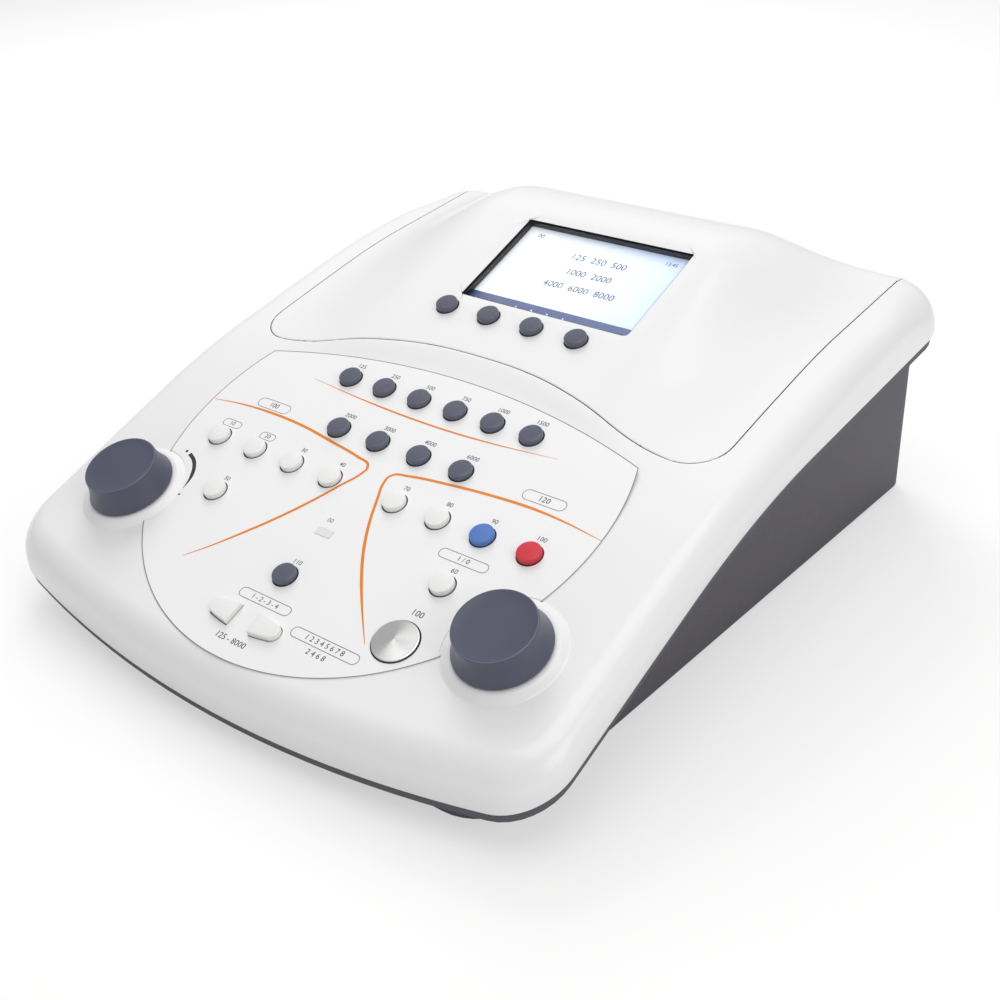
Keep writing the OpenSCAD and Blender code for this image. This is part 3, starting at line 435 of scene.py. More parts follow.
def lathe_data(profile: list[tuple[float, float]], n: int = 64) -> tuple[np.ndarray, list]:
    """Revolve a profile that starts and ends on the axis.

    Args:
        profile: Pairs of radius and height.
        n: Number of steps round the axis.

    Returns:
        The points and the faces of a closed shape about the Z axis.
    """
    a = np.linspace(0, 2 * math.pi, n, endpoint=False)
    verts: list = []
    rings: list = []
    for r, w in profile:
        if r < 1e-6:
            rings.append([len(verts)])
            verts.append((0.0, 0.0, w))
        else:
            rings.append(list(range(len(verts), len(verts) + n)))
            verts.extend(zip(r * np.cos(a), r * np.sin(a), np.full(n, w)))
    faces = []
    for p, q in zip(rings, rings[1:]):
        for i in range(n):
            j = (i + 1) % n
            if len(p) == 1 and len(q) == 1:
                continue
            if len(p) == 1:
                faces.append([p[0], q[i], q[j]])
            elif len(q) == 1:
                faces.append([p[i], q[0], p[j]])
            else:
                faces.append([p[i], q[i], q[j], p[j]])
    return np.array(verts, float), faces


def band_data(profile: list[tuple[float, float]], n: int = 160) -> tuple[np.ndarray, list]:
    """Revolve a closed profile that stays clear of the axis.

    Args:
        profile: Pairs of radius and height.
        n: Number of steps round the axis.

    Returns:
        The points and the faces of a closed ring about the Z axis.
    """
    a = np.linspace(0, 2 * math.pi, n, endpoint=False)
    verts = np.vstack([np.column_stack([q * np.cos(a), q * np.sin(a), np.full(n, w)]) for q, w in profile])
    faces = []
    for k in range(len(profile)):
        m = (k + 1) % len(profile)
        for i in range(n):
            j = (i + 1) % n
            faces.append([k * n + i, k * n + j, m * n + j, m * n + i])
    return verts, faces


def frame_data(outer: np.ndarray, inner: np.ndarray, low: float, high: float) -> tuple[np.ndarray, list]:
    """Flat closed frame between two loops of equal length.

    Args:
        outer: The outer loop (n, 2).
        inner: The inner loop (n, 2).
        low: Height of the underside.
        high: Height of the top.

    Returns:
        The points and the faces.
    """
    n = len(outer)
    faces = []
    for i in range(n):
        j = (i + 1) % n
        faces += [[i, j, n + j, n + i], [2 * n + i, 3 * n + i, 3 * n + j, 2 * n + j],
                  [i, 2 * n + i, 2 * n + j, j], [n + i, n + j, 3 * n + j, 3 * n + i]]
    return np.vstack([at(outer, low), at(inner, low), at(outer, high), at(inner, high)]), faces


def stack_data(loops: list[np.ndarray]) -> tuple[np.ndarray, list]:
    """Close a stack of loops of equal length with a cap at each end.

    Args:
        loops: Arrays (n, 3) from the lowest to the highest.

    Returns:
        The points and faces.
    """
    n = len(loops[0])
    faces = [list(range(n))[::-1], [(len(loops) - 1) * n + i for i in range(n)]]
    for k in range(len(loops) - 1):
        for i in range(n):
            j = (i + 1) % n
            faces.append([k * n + i, k * n + j, (k + 1) * n + j, (k + 1) * n + i])
    return np.vstack(loops), faces


def shrink(loop: np.ndarray, by: float) -> np.ndarray:
    """Draw a convex anticlockwise loop in by a distance, each corner along its mean normal.

    Args:
        loop: The loop (n, 2).
        by: The distance; a negative one lets the loop grow.

    Returns:
        The new loop (n, 2).
    """

    def unit(v: np.ndarray) -> np.ndarray:
        return v / np.maximum(np.linalg.norm(v, axis=1, keepdims=True), 1e-9)

    def left_of(edge: np.ndarray) -> np.ndarray:
        return unit(np.column_stack([-edge[:, 1], edge[:, 0]]))

    after, before = left_of(np.roll(loop, -1, 0) - loop), left_of(loop - np.roll(loop, 1, 0))
    mean = unit(after + before)
    scale = 1 / np.maximum((mean * after).sum(1), 0.45)
    return loop + mean * (by * scale)[:, None]


def rounded_rect(cx: float, cy: float, w: float, h: float, r: float, n: int = 8) -> np.ndarray:
    """Rounded rectangle, anticlockwise.

    Args:
        cx, cy: Its centre.
        w, h: Its full width and height.
        r: Radius of its corners.
        n: Points on each corner.

    Returns:
        The loop (4 n, 2).
    """
    out = []
    for sx, sy, a0 in ((1, 1, 0), (-1, 1, 90), (-1, -1, 180), (1, -1, 270)):
        a = np.radians(np.linspace(a0, a0 + 90, n))
        x, y = cx + sx * (w / 2 - r), cy + sy * (h / 2 - r)
        out.append(np.column_stack([x + r * np.cos(a), y + r * np.sin(a)]))
    return np.vstack(out)


def circle(cx: float, cy: float, r: float, n: int = 64) -> np.ndarray:
    """Circle, anticlockwise."""
    a = np.linspace(0, 2 * math.pi, n, endpoint=False)
    return np.column_stack([cx + r * np.cos(a), cy + r * np.sin(a)])


def at(loop: np.ndarray, w: float) -> np.ndarray:
    """Lift a flat loop to a height."""
    return np.column_stack([loop, np.full(len(loop), w)])


def even_odd(points: np.ndarray, loop: np.ndarray) -> np.ndarray:
    """Which points are inside a closed loop."""
    inside = np.zeros(len(points), bool)
    px, py = points[:, 0], points[:, 1]
    for (x0, y0), (x1, y1) in zip(loop, np.roll(loop, -1, 0)):
        if y0 == y1:
            continue
        hit = ((y0 > py) != (y1 > py)) & (px < (x1 - x0) * (py - y0) / (y1 - y0) + x0)
        inside ^= hit
    return inside


# --------------------------------------------------------------------------
# Finishes
# --------------------------------------------------------------------------


class Nodes:
    """Small helper that adds and links shader nodes."""

    def __init__(self, name: str) -> None:
        """Start a material with a Principled shader."""
        self.mat = bpy.data.materials.new(name)
        self.mat.use_nodes = True
        self.tree = self.mat.node_tree
        self.bsdf = self.tree.nodes["Principled BSDF"]
        self.coord = self.tree.nodes.new("ShaderNodeTexCoord")

    def add(self, kind: str, **values: object) -> bpy.types.Node:
        """Add a node and set its inputs or properties by name."""
        node = self.tree.nodes.new(kind)
        for key, value in values.items():
            if key in node.inputs:
                node.inputs[key].default_value = value
            elif hasattr(node, key):
                setattr(node, key, value)
            else:
                node.inputs[key.replace("_", " ")].default_value = value
        return node

    def link(self, a: bpy.types.NodeSocket, b: bpy.types.NodeSocket) -> None:
        """Link an output to an input."""
        self.tree.links.new(a, b)

    def noise(self, scale: float, detail: float = 3.0, rough: float = 0.5) -> bpy.types.NodeSocket:
        """Noise on Object coordinates."""
        node = self.add("ShaderNodeTexNoise", Scale=scale, Detail=detail, Roughness=rough)
        self.link(self.coord.outputs["Object"], node.inputs["Vector"])
        return node.outputs["Fac"]

    def spread(self, fac: bpy.types.NodeSocket, low: tuple, high: tuple) -> bpy.types.NodeSocket:
        """Colour between two values, by a factor.

        Args:
            fac: The factor.
            low: Colour at 0.
            high: Colour at 1.

        Returns:
            The colour's socket.
        """
        mix = self.tree.nodes.new("ShaderNodeMix")
        mix.data_type = "RGBA"
        mix.inputs["A"].default_value = (*low, 1)
        mix.inputs["B"].default_value = (*high, 1)
        self.link(fac, mix.inputs["Factor"])
        return mix.outputs["Result"]

    def remap(self, fac: bpy.types.NodeSocket, low: float, high: float, a: float = 0.35,
              b: float = 0.65) -> bpy.types.NodeSocket:
        """Map the part from a to b of a factor onto the range from low to high.

        Args:
            fac: The factor.
            low, high: The new range.
            a, b: The part of the factor that is used.

        Returns:
            The value's socket.
        """
        node = self.tree.nodes.new("ShaderNodeMapRange")
        node.inputs["From Min"].default_value = a
        node.inputs["From Max"].default_value = b
        node.inputs["To Min"].default_value = low
        node.inputs["To Max"].default_value = high
        self.link(fac, node.inputs["Value"])
        return node.outputs["Result"]

    def bump(self, height: bpy.types.NodeSocket, distance: float, strength: float = 1.0) -> None:
        """Bump on the shader's normal; distance in metres."""
        node = self.add("ShaderNodeBump", Strength=strength, Distance=distance)
        self.link(height, node.inputs["Height"])
        self.link(node.outputs["Normal"], self.bsdf.inputs["Normal"])


@dataclass(frozen=True)
class Plastic:
    """Moulded plastic: a colour with slight variation, gloss that varies, and a moulded texture."""

    name: str
    color: tuple[float, float, float]
    rough: float
    vary: float = 0.03
    grain: float = 900.0
    depth: float = 0.00002
    coat: float = 0.0
    uneven: float = 0.1

    def build(self) -> bpy.types.Material:
        """Build the material."""
        n = Nodes(self.name)
        low = tuple(max(c * (1 - self.vary), 0) for c in self.color)
        high = tuple(min(c * (1 + self.vary), 1) for c in self.color)
        n.link(n.spread(n.remap(n.noise(38.0, 4.0), 0, 1), low, high), n.bsdf.inputs["Base Color"])
        low_gloss, high_gloss = self.rough * (1 - self.uneven), min(self.rough * (1 + self.uneven), 1)
        n.link(n.remap(n.noise(60.0, 5.0, 0.6), low_gloss, high_gloss), n.bsdf.inputs["Roughness"])
        n.bump(n.noise(self.grain, 2.0), self.depth)
        if self.coat:
            n.bsdf.inputs["Coat Weight"].default_value = self.coat
            n.bsdf.inputs["Coat Roughness"].default_value = 0.08
        return n.mat


@dataclass(frozen=True)
class SparkTexture:
    """Dark base plastic with a fine spark-eroded texture."""

    name: str = "base_spark"
    color: tuple[float, float, float] = (0.085, 0.082, 0.098)

    def build(self) -> bpy.types.Material:
        """Build the material."""
        n = Nodes(self.name)
        fleck = n.noise(2600.0, 2.0, 0.7)
        low = tuple(c * 0.72 for c in self.color)
        high = tuple(c * 1.35 for c in self.color)
        n.link(n.spread(n.remap(fleck, 0, 1, 0.3, 0.7), low, high), n.bsdf.inputs["Base Color"])
        n.bsdf.inputs["Roughness"].default_value = 0.62
        n.bump(fleck, 0.00012, 0.9)
        return n.mat


@dataclass(frozen=True)
class TurnedMetal:
    """Metal key, brushed round its own centre."""

    name: str = "turned_metal"
    centre: tuple[float, float, float] = (0.0, 0.0, 0.0)
    axis: tuple[float, float, float] = (0.0, 0.0, 1.0)

    def build(self) -> bpy.types.Material:
        """Build the material, with its tangent running round the key."""
        n = Nodes(self.name)
        n.bsdf.inputs["Metallic"].default_value = 1.0
        n.bsdf.inputs["Roughness"].default_value = 0.3
        n.bsdf.inputs["Anisotropic"].default_value = 0.85
        sub = n.add("ShaderNodeVectorMath", operation="SUBTRACT")
        sub.inputs[1].default_value = self.centre
        n.link(n.coord.outputs["Object"], sub.inputs[0])
        cross = n.add("ShaderNodeVectorMath", operation="CROSS_PRODUCT")
        cross.inputs[0].default_value = self.axis
        n.link(sub.outputs[0], cross.inputs[1])
        unit = n.add("ShaderNodeVectorMath", operation="NORMALIZE")
        n.link(cross.outputs[0], unit.inputs[0])
        n.link(unit.outputs[0], n.bsdf.inputs["Tangent"])
        length = n.add("ShaderNodeVectorMath", operation="LENGTH")
        n.link(sub.outputs[0], length.inputs[0])
        rings = n.add("ShaderNodeTexNoise", Scale=5200.0, Detail=2.0)
        rings.noise_dimensions = "1D"
        n.link(length.outputs["Value"], rings.inputs["W"])
        shade = n.spread(n.remap(rings.outputs["Fac"], 0, 1), (0.74, 0.74, 0.74), (0.92, 0.92, 0.91))
        n.link(shade, n.bsdf.inputs["Base Color"])
        n.bump(rings.outputs["Fac"], 0.00001, 0.5)
        return n.mat


class Print(Enum):
    """Printed inks."""

    ORANGE = ("ink_orange", (0.74, 0.22, 0.02))
    GREY = ("ink_grey", (0.03, 0.03, 0.04))
    LINE = ("ink_line", (0.2, 0.2, 0.23))

    def build(self) -> bpy.types.Material:
        """Build the ink's material."""
        name, color = self.value
        return Plastic(name, color, 0.4, 0.02, 500.0, 0.000003).build()


@dataclass
class Lit:
    """Lit display content: an even colour or a gradient across the screen."""

    name: str
    low: tuple[float, float, float]
    high: tuple[float, float, float]
    strength: float = 1.0
    x0: float = -0.04
    x1: float = 0.062

    def build(self) -> bpy.types.Material:
        """Build the material; the colour runs along X."""
        n = Nodes(self.name)
        split = n.add("ShaderNodeSeparateXYZ")
        n.link(n.coord.outputs["Object"], split.inputs[0])
        fac = n.remap(split.outputs["X"], 0, 1, self.x0, self.x1)
        color = n.spread(fac, self.low, self.high)
        n.link(color, n.bsdf.inputs["Base Color"])
        n.link(color, n.bsdf.inputs["Emission Color"])
        n.bsdf.inputs["Emission Strength"].default_value = self.strength
        n.bsdf.inputs["Roughness"].default_value = 0.4
        return n.mat


def clear_window() -> bpy.types.Material:
    """Clear coated window over the display."""
    n = Nodes("window_clear")
    n.bsdf.inputs["Base Color"].default_value = (1, 1, 1, 1)
    n.bsdf.inputs["Transmission Weight"].default_value = 1.0
    n.bsdf.inputs["IOR"].default_value = 1.2
    n.link(n.remap(n.noise(25.0), 0.01, 0.03), n.bsdf.inputs["Roughness"])
    return n.mat


class Finishes:
    """All finishes of the object, by name."""

    PLASTICS = {
        "cover": Plastic("cover_white", (0.80, 0.80, 0.81), 0.3, 0.003, 700.0, 0.0000006, 0.25, 0.03),
        "overlay": Plastic("overlay_foil", (0.83, 0.83, 0.84), 0.34, 0.003, 1500.0, 0.000001, 0.0, 0.03),
        "slate": Plastic("slate_satin", (0.1, 0.105, 0.148), 0.27, 0.04, 1400.0, 0.000004),
        "knob": Plastic("knob_slate", (0.07, 0.073, 0.115), 0.4, 0.04, 1800.0, 0.00001),
        # Lighter rim colour: a painted highlight along the knob's top edge.
        "rim": Plastic("knob_rim_painted_highlight", (0.15, 0.155, 0.22), 0.22, 0.02, 900.0, 0.000004),
        "white": Plastic("key_white", (0.8, 0.8, 0.79), 0.25, 0.008, 900.0, 0.000001, 0.2),
        "blue": Plastic("key_blue", (0.08, 0.18, 0.5), 0.4, 0.02, 500.0, 0.000003),
        "red": Plastic("key_red", (0.6, 0.03, 0.05), 0.4, 0.02, 500.0, 0.000003),
        # Black seal finish; also used as painted shade on the cover's hole and seam walls and on the rings in the key
        # gaps.
        "seal": Plastic("seal_black", (0.012, 0.012, 0.013), 0.7, 0.1, 800.0, 0.00001),
        "bezel": Plastic("bezel_black", (0.015, 0.016, 0.02), 0.35, 0.1, 800.0, 0.00001),
        "rubber": Plastic("foot_rubber", (0.02, 0.02, 0.021), 0.85, 0.15, 1200.0, 0.00004),
        "board": Plastic("board_green", (0.03, 0.15, 0.07), 0.4, 0.2, 700.0, 0.00001),
        "silicone": Plastic("silicone_mat", (0.5, 0.5, 0.5), 0.6, 0.05, 700.0, 0.00001),
        "dark": Plastic("dark_moulding", (0.03, 0.03, 0.033), 0.45, 0.1, 1200.0, 0.00002),
        "plate": Plastic("rear_plate", (0.10, 0.10, 0.11), 0.5, 0.06, 2200.0, 0.00003),
        "lens": Plastic("lens_frosted", (0.72, 0.73, 0.75), 0.5, 0.02, 900.0, 0.000004),
        "cable": Plastic("ribbon_cable", (0.45, 0.45, 0.47), 0.5, 0.05, 900.0, 0.00001),
    }

    def __init__(self) -> None:
        """Build every finish."""
        disc = PANEL.place(np.array([[Layout.disc[0], Layout.disc[1], 2.0]]))[0] * MM
        self.by_name = {key: plastic.build() for key, plastic in self.PLASTICS.items()}
        self.by_name["base"] = SparkTexture().build()
        self.by_name["turned"] = TurnedMetal(centre=tuple(disc), axis=tuple(PANEL.normal())).build()
        self.by_name["window"] = clear_window()
        steel = Nodes("plated_steel")
        steel.bsdf.inputs["Metallic"].default_value = 1.0
        shade = steel.spread(steel.noise(300.0), (0.5, 0.5, 0.52), (0.66, 0.66, 0.67))
        steel.link(shade, steel.bsdf.inputs["Base Color"])
        steel.link(steel.remap(steel.noise(500.0), 0.25, 0.42), steel.bsdf.inputs["Roughness"])
        self.by_name["steel"] = steel.mat
        for ink in Print:
            self.by_name[ink.name.lower()] = ink.build()

    def __getitem__(self, key: str) -> bpy.types.Material:
        """The finish with that name."""
        return self.by_name[key]


# --------------------------------------------------------------------------
# Covers
# --------------------------------------------------------------------------


@dataclass
class Hole:
    """A hole through the cover: a convex loop in panel x, v at a height w."""

    loop: np.ndarray
    up: float = 0.0
    lip: float = 0.35


@dataclass
class Covers:
    """The two white covers, made from one surface with true holes, seams and rounded lips."""

    finishes: Finishes
    seam_gap: float = 0.4
    lip: float = 0.5
    seam_drop: float = 0.375
    grid: float = 4.0
    rings: tuple[float, ...] = (0.12, 0.35, 0.65, 1.0)

    def holes(self, display: bool) -> list[Hole]:
        """Holes of one cover."""
        out = [Hole(circle(k.x, k.v, Layout.key_r + Layout.key_gap, 56), k.up) for k in Layout.keys()
               if k.node.startswith("key_display") == display]
        if display:
            x, v, w, h = Layout.screen
            r = Layout.rim
            out.append(Hole(rounded_rect(x, v, w + 2 * r + 0.2, h + 2 * r + 0.2, 1.2), FORM.rise, 0.8))
            return out
        out.append(Hole(circle(Layout.disc[0], Layout.disc[1], Layout.disc[2] + Layout.key_gap, 96)))
        out += [Hole(Layout.leaf(s, Layout.key_gap)) for s in (-1, 1)]
        out += [Hole(circle(s * Layout.knob_x, 0, Layout.bush_r, 48), 0, 0.1) for s in (-1, 1)]
        x, v, w, h = Layout.lens
        out.append(Hole(rounded_rect(x, v, w + 0.2, h + 0.2, 0.4), 0, 0.1))
        return out

    def domain(self, display: bool, seam: np.ndarray, half: float) -> np.ndarray:
        """Outline of one cover from above, which starts with the seam.

        Args:
            display: True for the cover round the screen.
            seam: The seam of this cover.
            half: Half the width between the seam's sides.

        Returns:
            The closed outline (n, 2), y from the front arc.
        """
        if display:
            xs = np.linspace(-half, half, 110)[1:-1]
            return np.vstack([seam, np.column_stack([xs, np.full(len(xs), FORM.depth)])])
        outline = FORM.outline(0.0)
        far = ~((outline[:, 1] > FORM.depth - 0.01) & (np.abs(outline[:, 0]) <= half))
        start = int(np.argmax(far & ~np.roll(far, 1)))
        return np.vstack([seam[::-1], np.roll(outline, -start, 0)[: int(far.sum())]])

    def lip_points(self, holes: list[Hole], inset: float, sign: int) -> list[tuple[np.ndarray, float]]:
        """Rings beside the holes and the seam, each with its drop below the surface.

        Args:
            holes: The holes of the cover.
            inset: How far the cover's edge is drawn in from the seam.
            sign: 1 where the cover lies inside the seam, -1 where it lies outside.

        Returns:
            Pairs of points (n, 2) and drop.
        """
        out = []
        for h in holes:
            for d in self.rings:
                rest = h.lip - min(d * h.lip, h.lip)
                ring = PANEL.plan(shrink(h.loop, -d * h.lip), h.up)
                out.append((ring, h.lip - math.sqrt(max(h.lip**2 - rest**2, 0))))
            out.append((PANEL.plan(shrink(h.loop, -h.lip - 1.4), h.up), 0.0))
        for d in (*self.rings, 3.0):
            drop = self.seam_drop * max(0.0, 1 - math.sqrt(max(1 - (1 - min(d, 1)) ** 2, 0)))
            out.append((FORM.seam(inset + sign * d * self.lip), drop))
        return out

    def edge_points(self) -> list[np.ndarray]:
        """Rings over the rounded edge, which is wider at the back."""
        out = []
        for a in np.radians(np.arange(8, 91, 7.5)):
            for r in (FORM.edge, FORM.rear_round):
                ring = FORM.outline(r * (1 - math.cos(a)))
                rear = ring[:, 1] > 320
                out.append(ring[rear if r == FORM.rear_round else ~rear])
        return out

    def grid_points(self, display: bool) -> np.ndarray:
        """Even grid inside the rounded edge, a little off centre so that no point meets a line."""
        gx, gy = np.meshgrid(np.arange(-162, 163, self.grid), np.arange(2, 384, self.grid))
        grid = np.column_stack([gx.ravel() + 0.013, gy.ravel() + 0.017])
        r_here = np.where(grid[:, 1] > 315, FORM.rear_round, FORM.edge)
        grid = grid[FORM.distance(grid[:, 0], grid[:, 1]) > r_here + 0.5]
        if not display:
            return grid
        rows = np.meshgrid(np.arange(-140, 141, self.grid), np.arange(356, 384, 1.6))
        return np.vstack([grid, np.column_stack([m.ravel() for m in rows]) + 0.01])

    def build(self, name: str, display: bool) -> bpy.types.Object:
        """Build one cover as a closed shell.

        Args:
            name: Name of the piece.
            display: True for the cover round the screen, False for the one with the keypad.

        Returns:
            The finished piece.
        """
        inset = 0.0 if display else -self.seam_gap
        seam = FORM.seam(inset)
        domain = self.domain(display, seam, FORM.seam_half - inset)
        holes = self.holes(display)
        loops = [PANEL.plan(h.loop, h.up) for h in holes]
        grid = self.grid_points(display)
        fixed_drop = np.where(np.arange(len(domain)) < len(seam), self.seam_drop, 0.0)
        sets = [(domain, fixed_drop)] + [(loop, h.lip) for h, loop in zip(holes, loops)]
        fixed_count = sum(len(points) for points, _ in sets)
        sets += self.lip_points(holes, inset, 1 if display else -1)
        sets += [(ring, 0.0) for ring in self.edge_points()] + [(grid, 0.0)]
        xy = np.vstack([points for points, _ in sets])
        drop = np.concatenate([np.broadcast_to(d, len(points)) for points, d in sets])
        edges, marks, base = [], [], 0
        for loop in [domain] + loops:
            n = len(loop)
            edges += [(base + i, base + (i + 1) % n) for i in range(n)]
            marks.append((base, n))
            base += n
        free = np.arange(len(xy)) >= fixed_count
        on_grid = np.arange(len(xy)) >= len(xy) - len(grid)
        out = ~even_odd(xy, domain)
        out[free] |= self.near_loops(xy[free], [domain] + loops, 0.03)
        for h, loop in zip(holes, loops):
            out |= even_odd(xy, loop)
            out |= on_grid & even_odd(xy, PANEL.plan(shrink(h.loop, -h.lip - 1.3), h.up))
        index = np.flatnonzero(~(out & free))
        verts = [Vector((float(a), float(b))) for a, b in xy[index]]
        points, _, found, origin, *_ = delaunay_2d_cdt(verts, edges, [], 0, 1e-5, True)
        pts = np.array([(p.x, p.y) for p in points])
        tris = np.array([f for f in found if len(f) == 3])
        first = [o[0] if o else -1 for o in origin]
        lips = np.array([drop[index[o]] if o >= 0 else 0.0 for o in first])
        source = np.array([index[o] if o >= 0 else -1 for o in first])
        good = even_odd(pts[tris].mean(1), domain)
        for start, n in marks[1:]:
            member = (source >= start) & (source < start + n)
            good &= ~member[tris].all(1)
        return self.close(name, pts, lips, tris[good])

    @staticmethod
    def near_loops(xy: np.ndarray, loops: list[np.ndarray], reach: float) -> np.ndarray:
        """Which points lie on one of the loops.

        Args:
            xy: The points (n, 2).
            loops: Closed loops.
            reach: How near counts as on the loop.

        Returns:
            A flag for each point.
        """
        hit = np.zeros(len(xy), bool)
        for loop in loops:
            for a, b in zip(loop, np.roll(loop, -1, 0)):
                d = b - a
                ll = float(d @ d)
                if ll < 1e-12:
                    continue
                box = (xy[:, 0] > min(a[0], b[0]) - 1) & (xy[:, 0] < max(a[0], b[0]) + 1) & \
                      (xy[:, 1] > min(a[1], b[1]) - 1) & (xy[:, 1] < max(a[1], b[1]) + 1)
                i = np.flatnonzero(box & ~hit)
                if not len(i):
                    continue
                t = np.clip((xy[i] - a) @ d / ll, 0, 1)
                hit[i] |= np.linalg.norm(xy[i] - a - t[:, None] * d, axis=1) < reach
        return hit

    @staticmethod
    def darken_walls(obj: bpy.types.Object) -> None:
        """Paint shade on the walls of holes and seams, which stand square to the surface beside them; the black
        finish there is painted shade.

        Args:
            obj: The cover, with the black seal finish as its second material, used here as painted shade.
        """
        polys = obj.data.polygons
        centre = np.array([p.center[:] for p in polys]) / MM
        facing = np.array([p.normal[:] for p in polys])
        x, y = centre[:, 0], centre[:, 1] + HALF_DEPTH
        across = np.abs((facing * FORM.upright(x, y)).sum(1)) < 0.4
        polys.foreach_set("material_index", (across & (FORM.distance(x, y) > 3.0)).astype(np.int32))

    @staticmethod
    def skirt_points(top: np.ndarray, low: np.ndarray) -> list[tuple[float, float, float]]:
        """Points down the skirt below one point of the outline: outside, round its lower edge and inside."""
        x, y, z = top
        ix, iy, _ = low
        edge_z = float(FORM.edge_z(np.array(y + HALF_DEPTH))) + 0.05
        inner_z = float(FORM.edge_z(np.array(iy + HALF_DEPTH))) + 0.05
        nx, ny = (x - ix) / FORM.wall, (y - iy) / FORM.wall
        side_z = min(z - 0.2, edge_z + 0.9)
        return [(x, y, side_z), (x - nx * 0.12, y - ny * 0.12, min(side_z - 0.1, edge_z + 0.3)),
                (x - nx * 0.45, y - ny * 0.45, edge_z), (ix, iy, inner_z)]

    def close(self, name: str, pts: np.ndarray, lips: np.ndarray, tris: np.ndarray) -> bpy.types.Object:
        """Give the lifted surface its wall, hole walls and skirt.

        Args:
            name: Name of the node.
            pts: Points from above, y from the front arc.
            lips: Drop of each point at a lip.
            tris: Triangles of the outer surface.

        Returns:
            The closed piece.
        """
        used = np.unique(tris)
        new = np.full(len(pts), -1)
        new[used] = np.arange(len(used))
        pts, lips, tris = pts[used], lips[used], new[tris]
        x, y = pts[:, 0], pts[:, 1]
        edge = FORM.distance(x, y) < 0.02
        outer = np.column_stack([x, y - HALF_DEPTH, FORM.height(x, y)])
        n = FORM.upright(x, y)
        n[edge] = np.column_stack([FORM.outward(x, y)[edge], np.zeros(edge.sum())])
        top = outer - np.column_stack([np.zeros((len(x), 2)), lips])
        low = outer - n * FORM.wall
        m = len(top)
        a, b, c = top[tris[:, 0]], top[tris[:, 1]], top[tris[:, 2]]
        up = np.cross(b - a, c - a)[:, 2] > 0
        tris = np.where(up[:, None], tris, tris[:, ::-1])
        faces = tris.tolist() + (tris[:, ::-1] + m).tolist()
        sides = {(int(t[i]), int(t[(i + 1) % 3])): None for t in tris for i in range(3)}
        rim = [(i, j) for (i, j) in sides if (j, i) not in sides]
        verts = [top, low]
        skirt = {}
        extra: list = []
        for i, j in rim:
            for k in (i, j):
                if edge[k] and k not in skirt:
                    skirt[k] = 2 * m + len(extra)
                    extra += self.skirt_points(top[k], low[k])
        verts.append(np.array(extra))
        ends: dict[int, int] = {}
        for i, j in rim:
            if edge[i] and edge[j]:
                a, b = skirt[i], skirt[j]
                faces += [[j, i, a, b], [b, a, a + 1, b + 1], [b + 1, a + 1, a + 2, b + 2],
                          [b + 2, a + 2, a + 3, b + 3], [b + 3, a + 3, m + i, m + j]]
                ends[i] = ends.get(i, 0) + 1
                ends[j] = ends.get(j, 0) + 1
            else:
                faces.append([j, i, m + i, m + j])
        for k, count in ends.items():
            if count == 1:
                a = skirt[k]
                faces.append([k, a, a + 1, a + 2, a + 3, m + k])
        obj = make_mesh(name, np.vstack(verts), faces, self.finishes["cover"], 40.0)
        # The second material paints shade on the hole and seam walls.
        obj.data.materials.append(self.finishes["seal"])
        self.darken_walls(obj)
        LOG.info("%s: %d points, %d faces", name, len(obj.data.vertices), len(obj.data.polygons))
        return obj


# --------------------------------------------------------------------------
# Repeats, by Geometry Nodes
# --------------------------------------------------------------------------


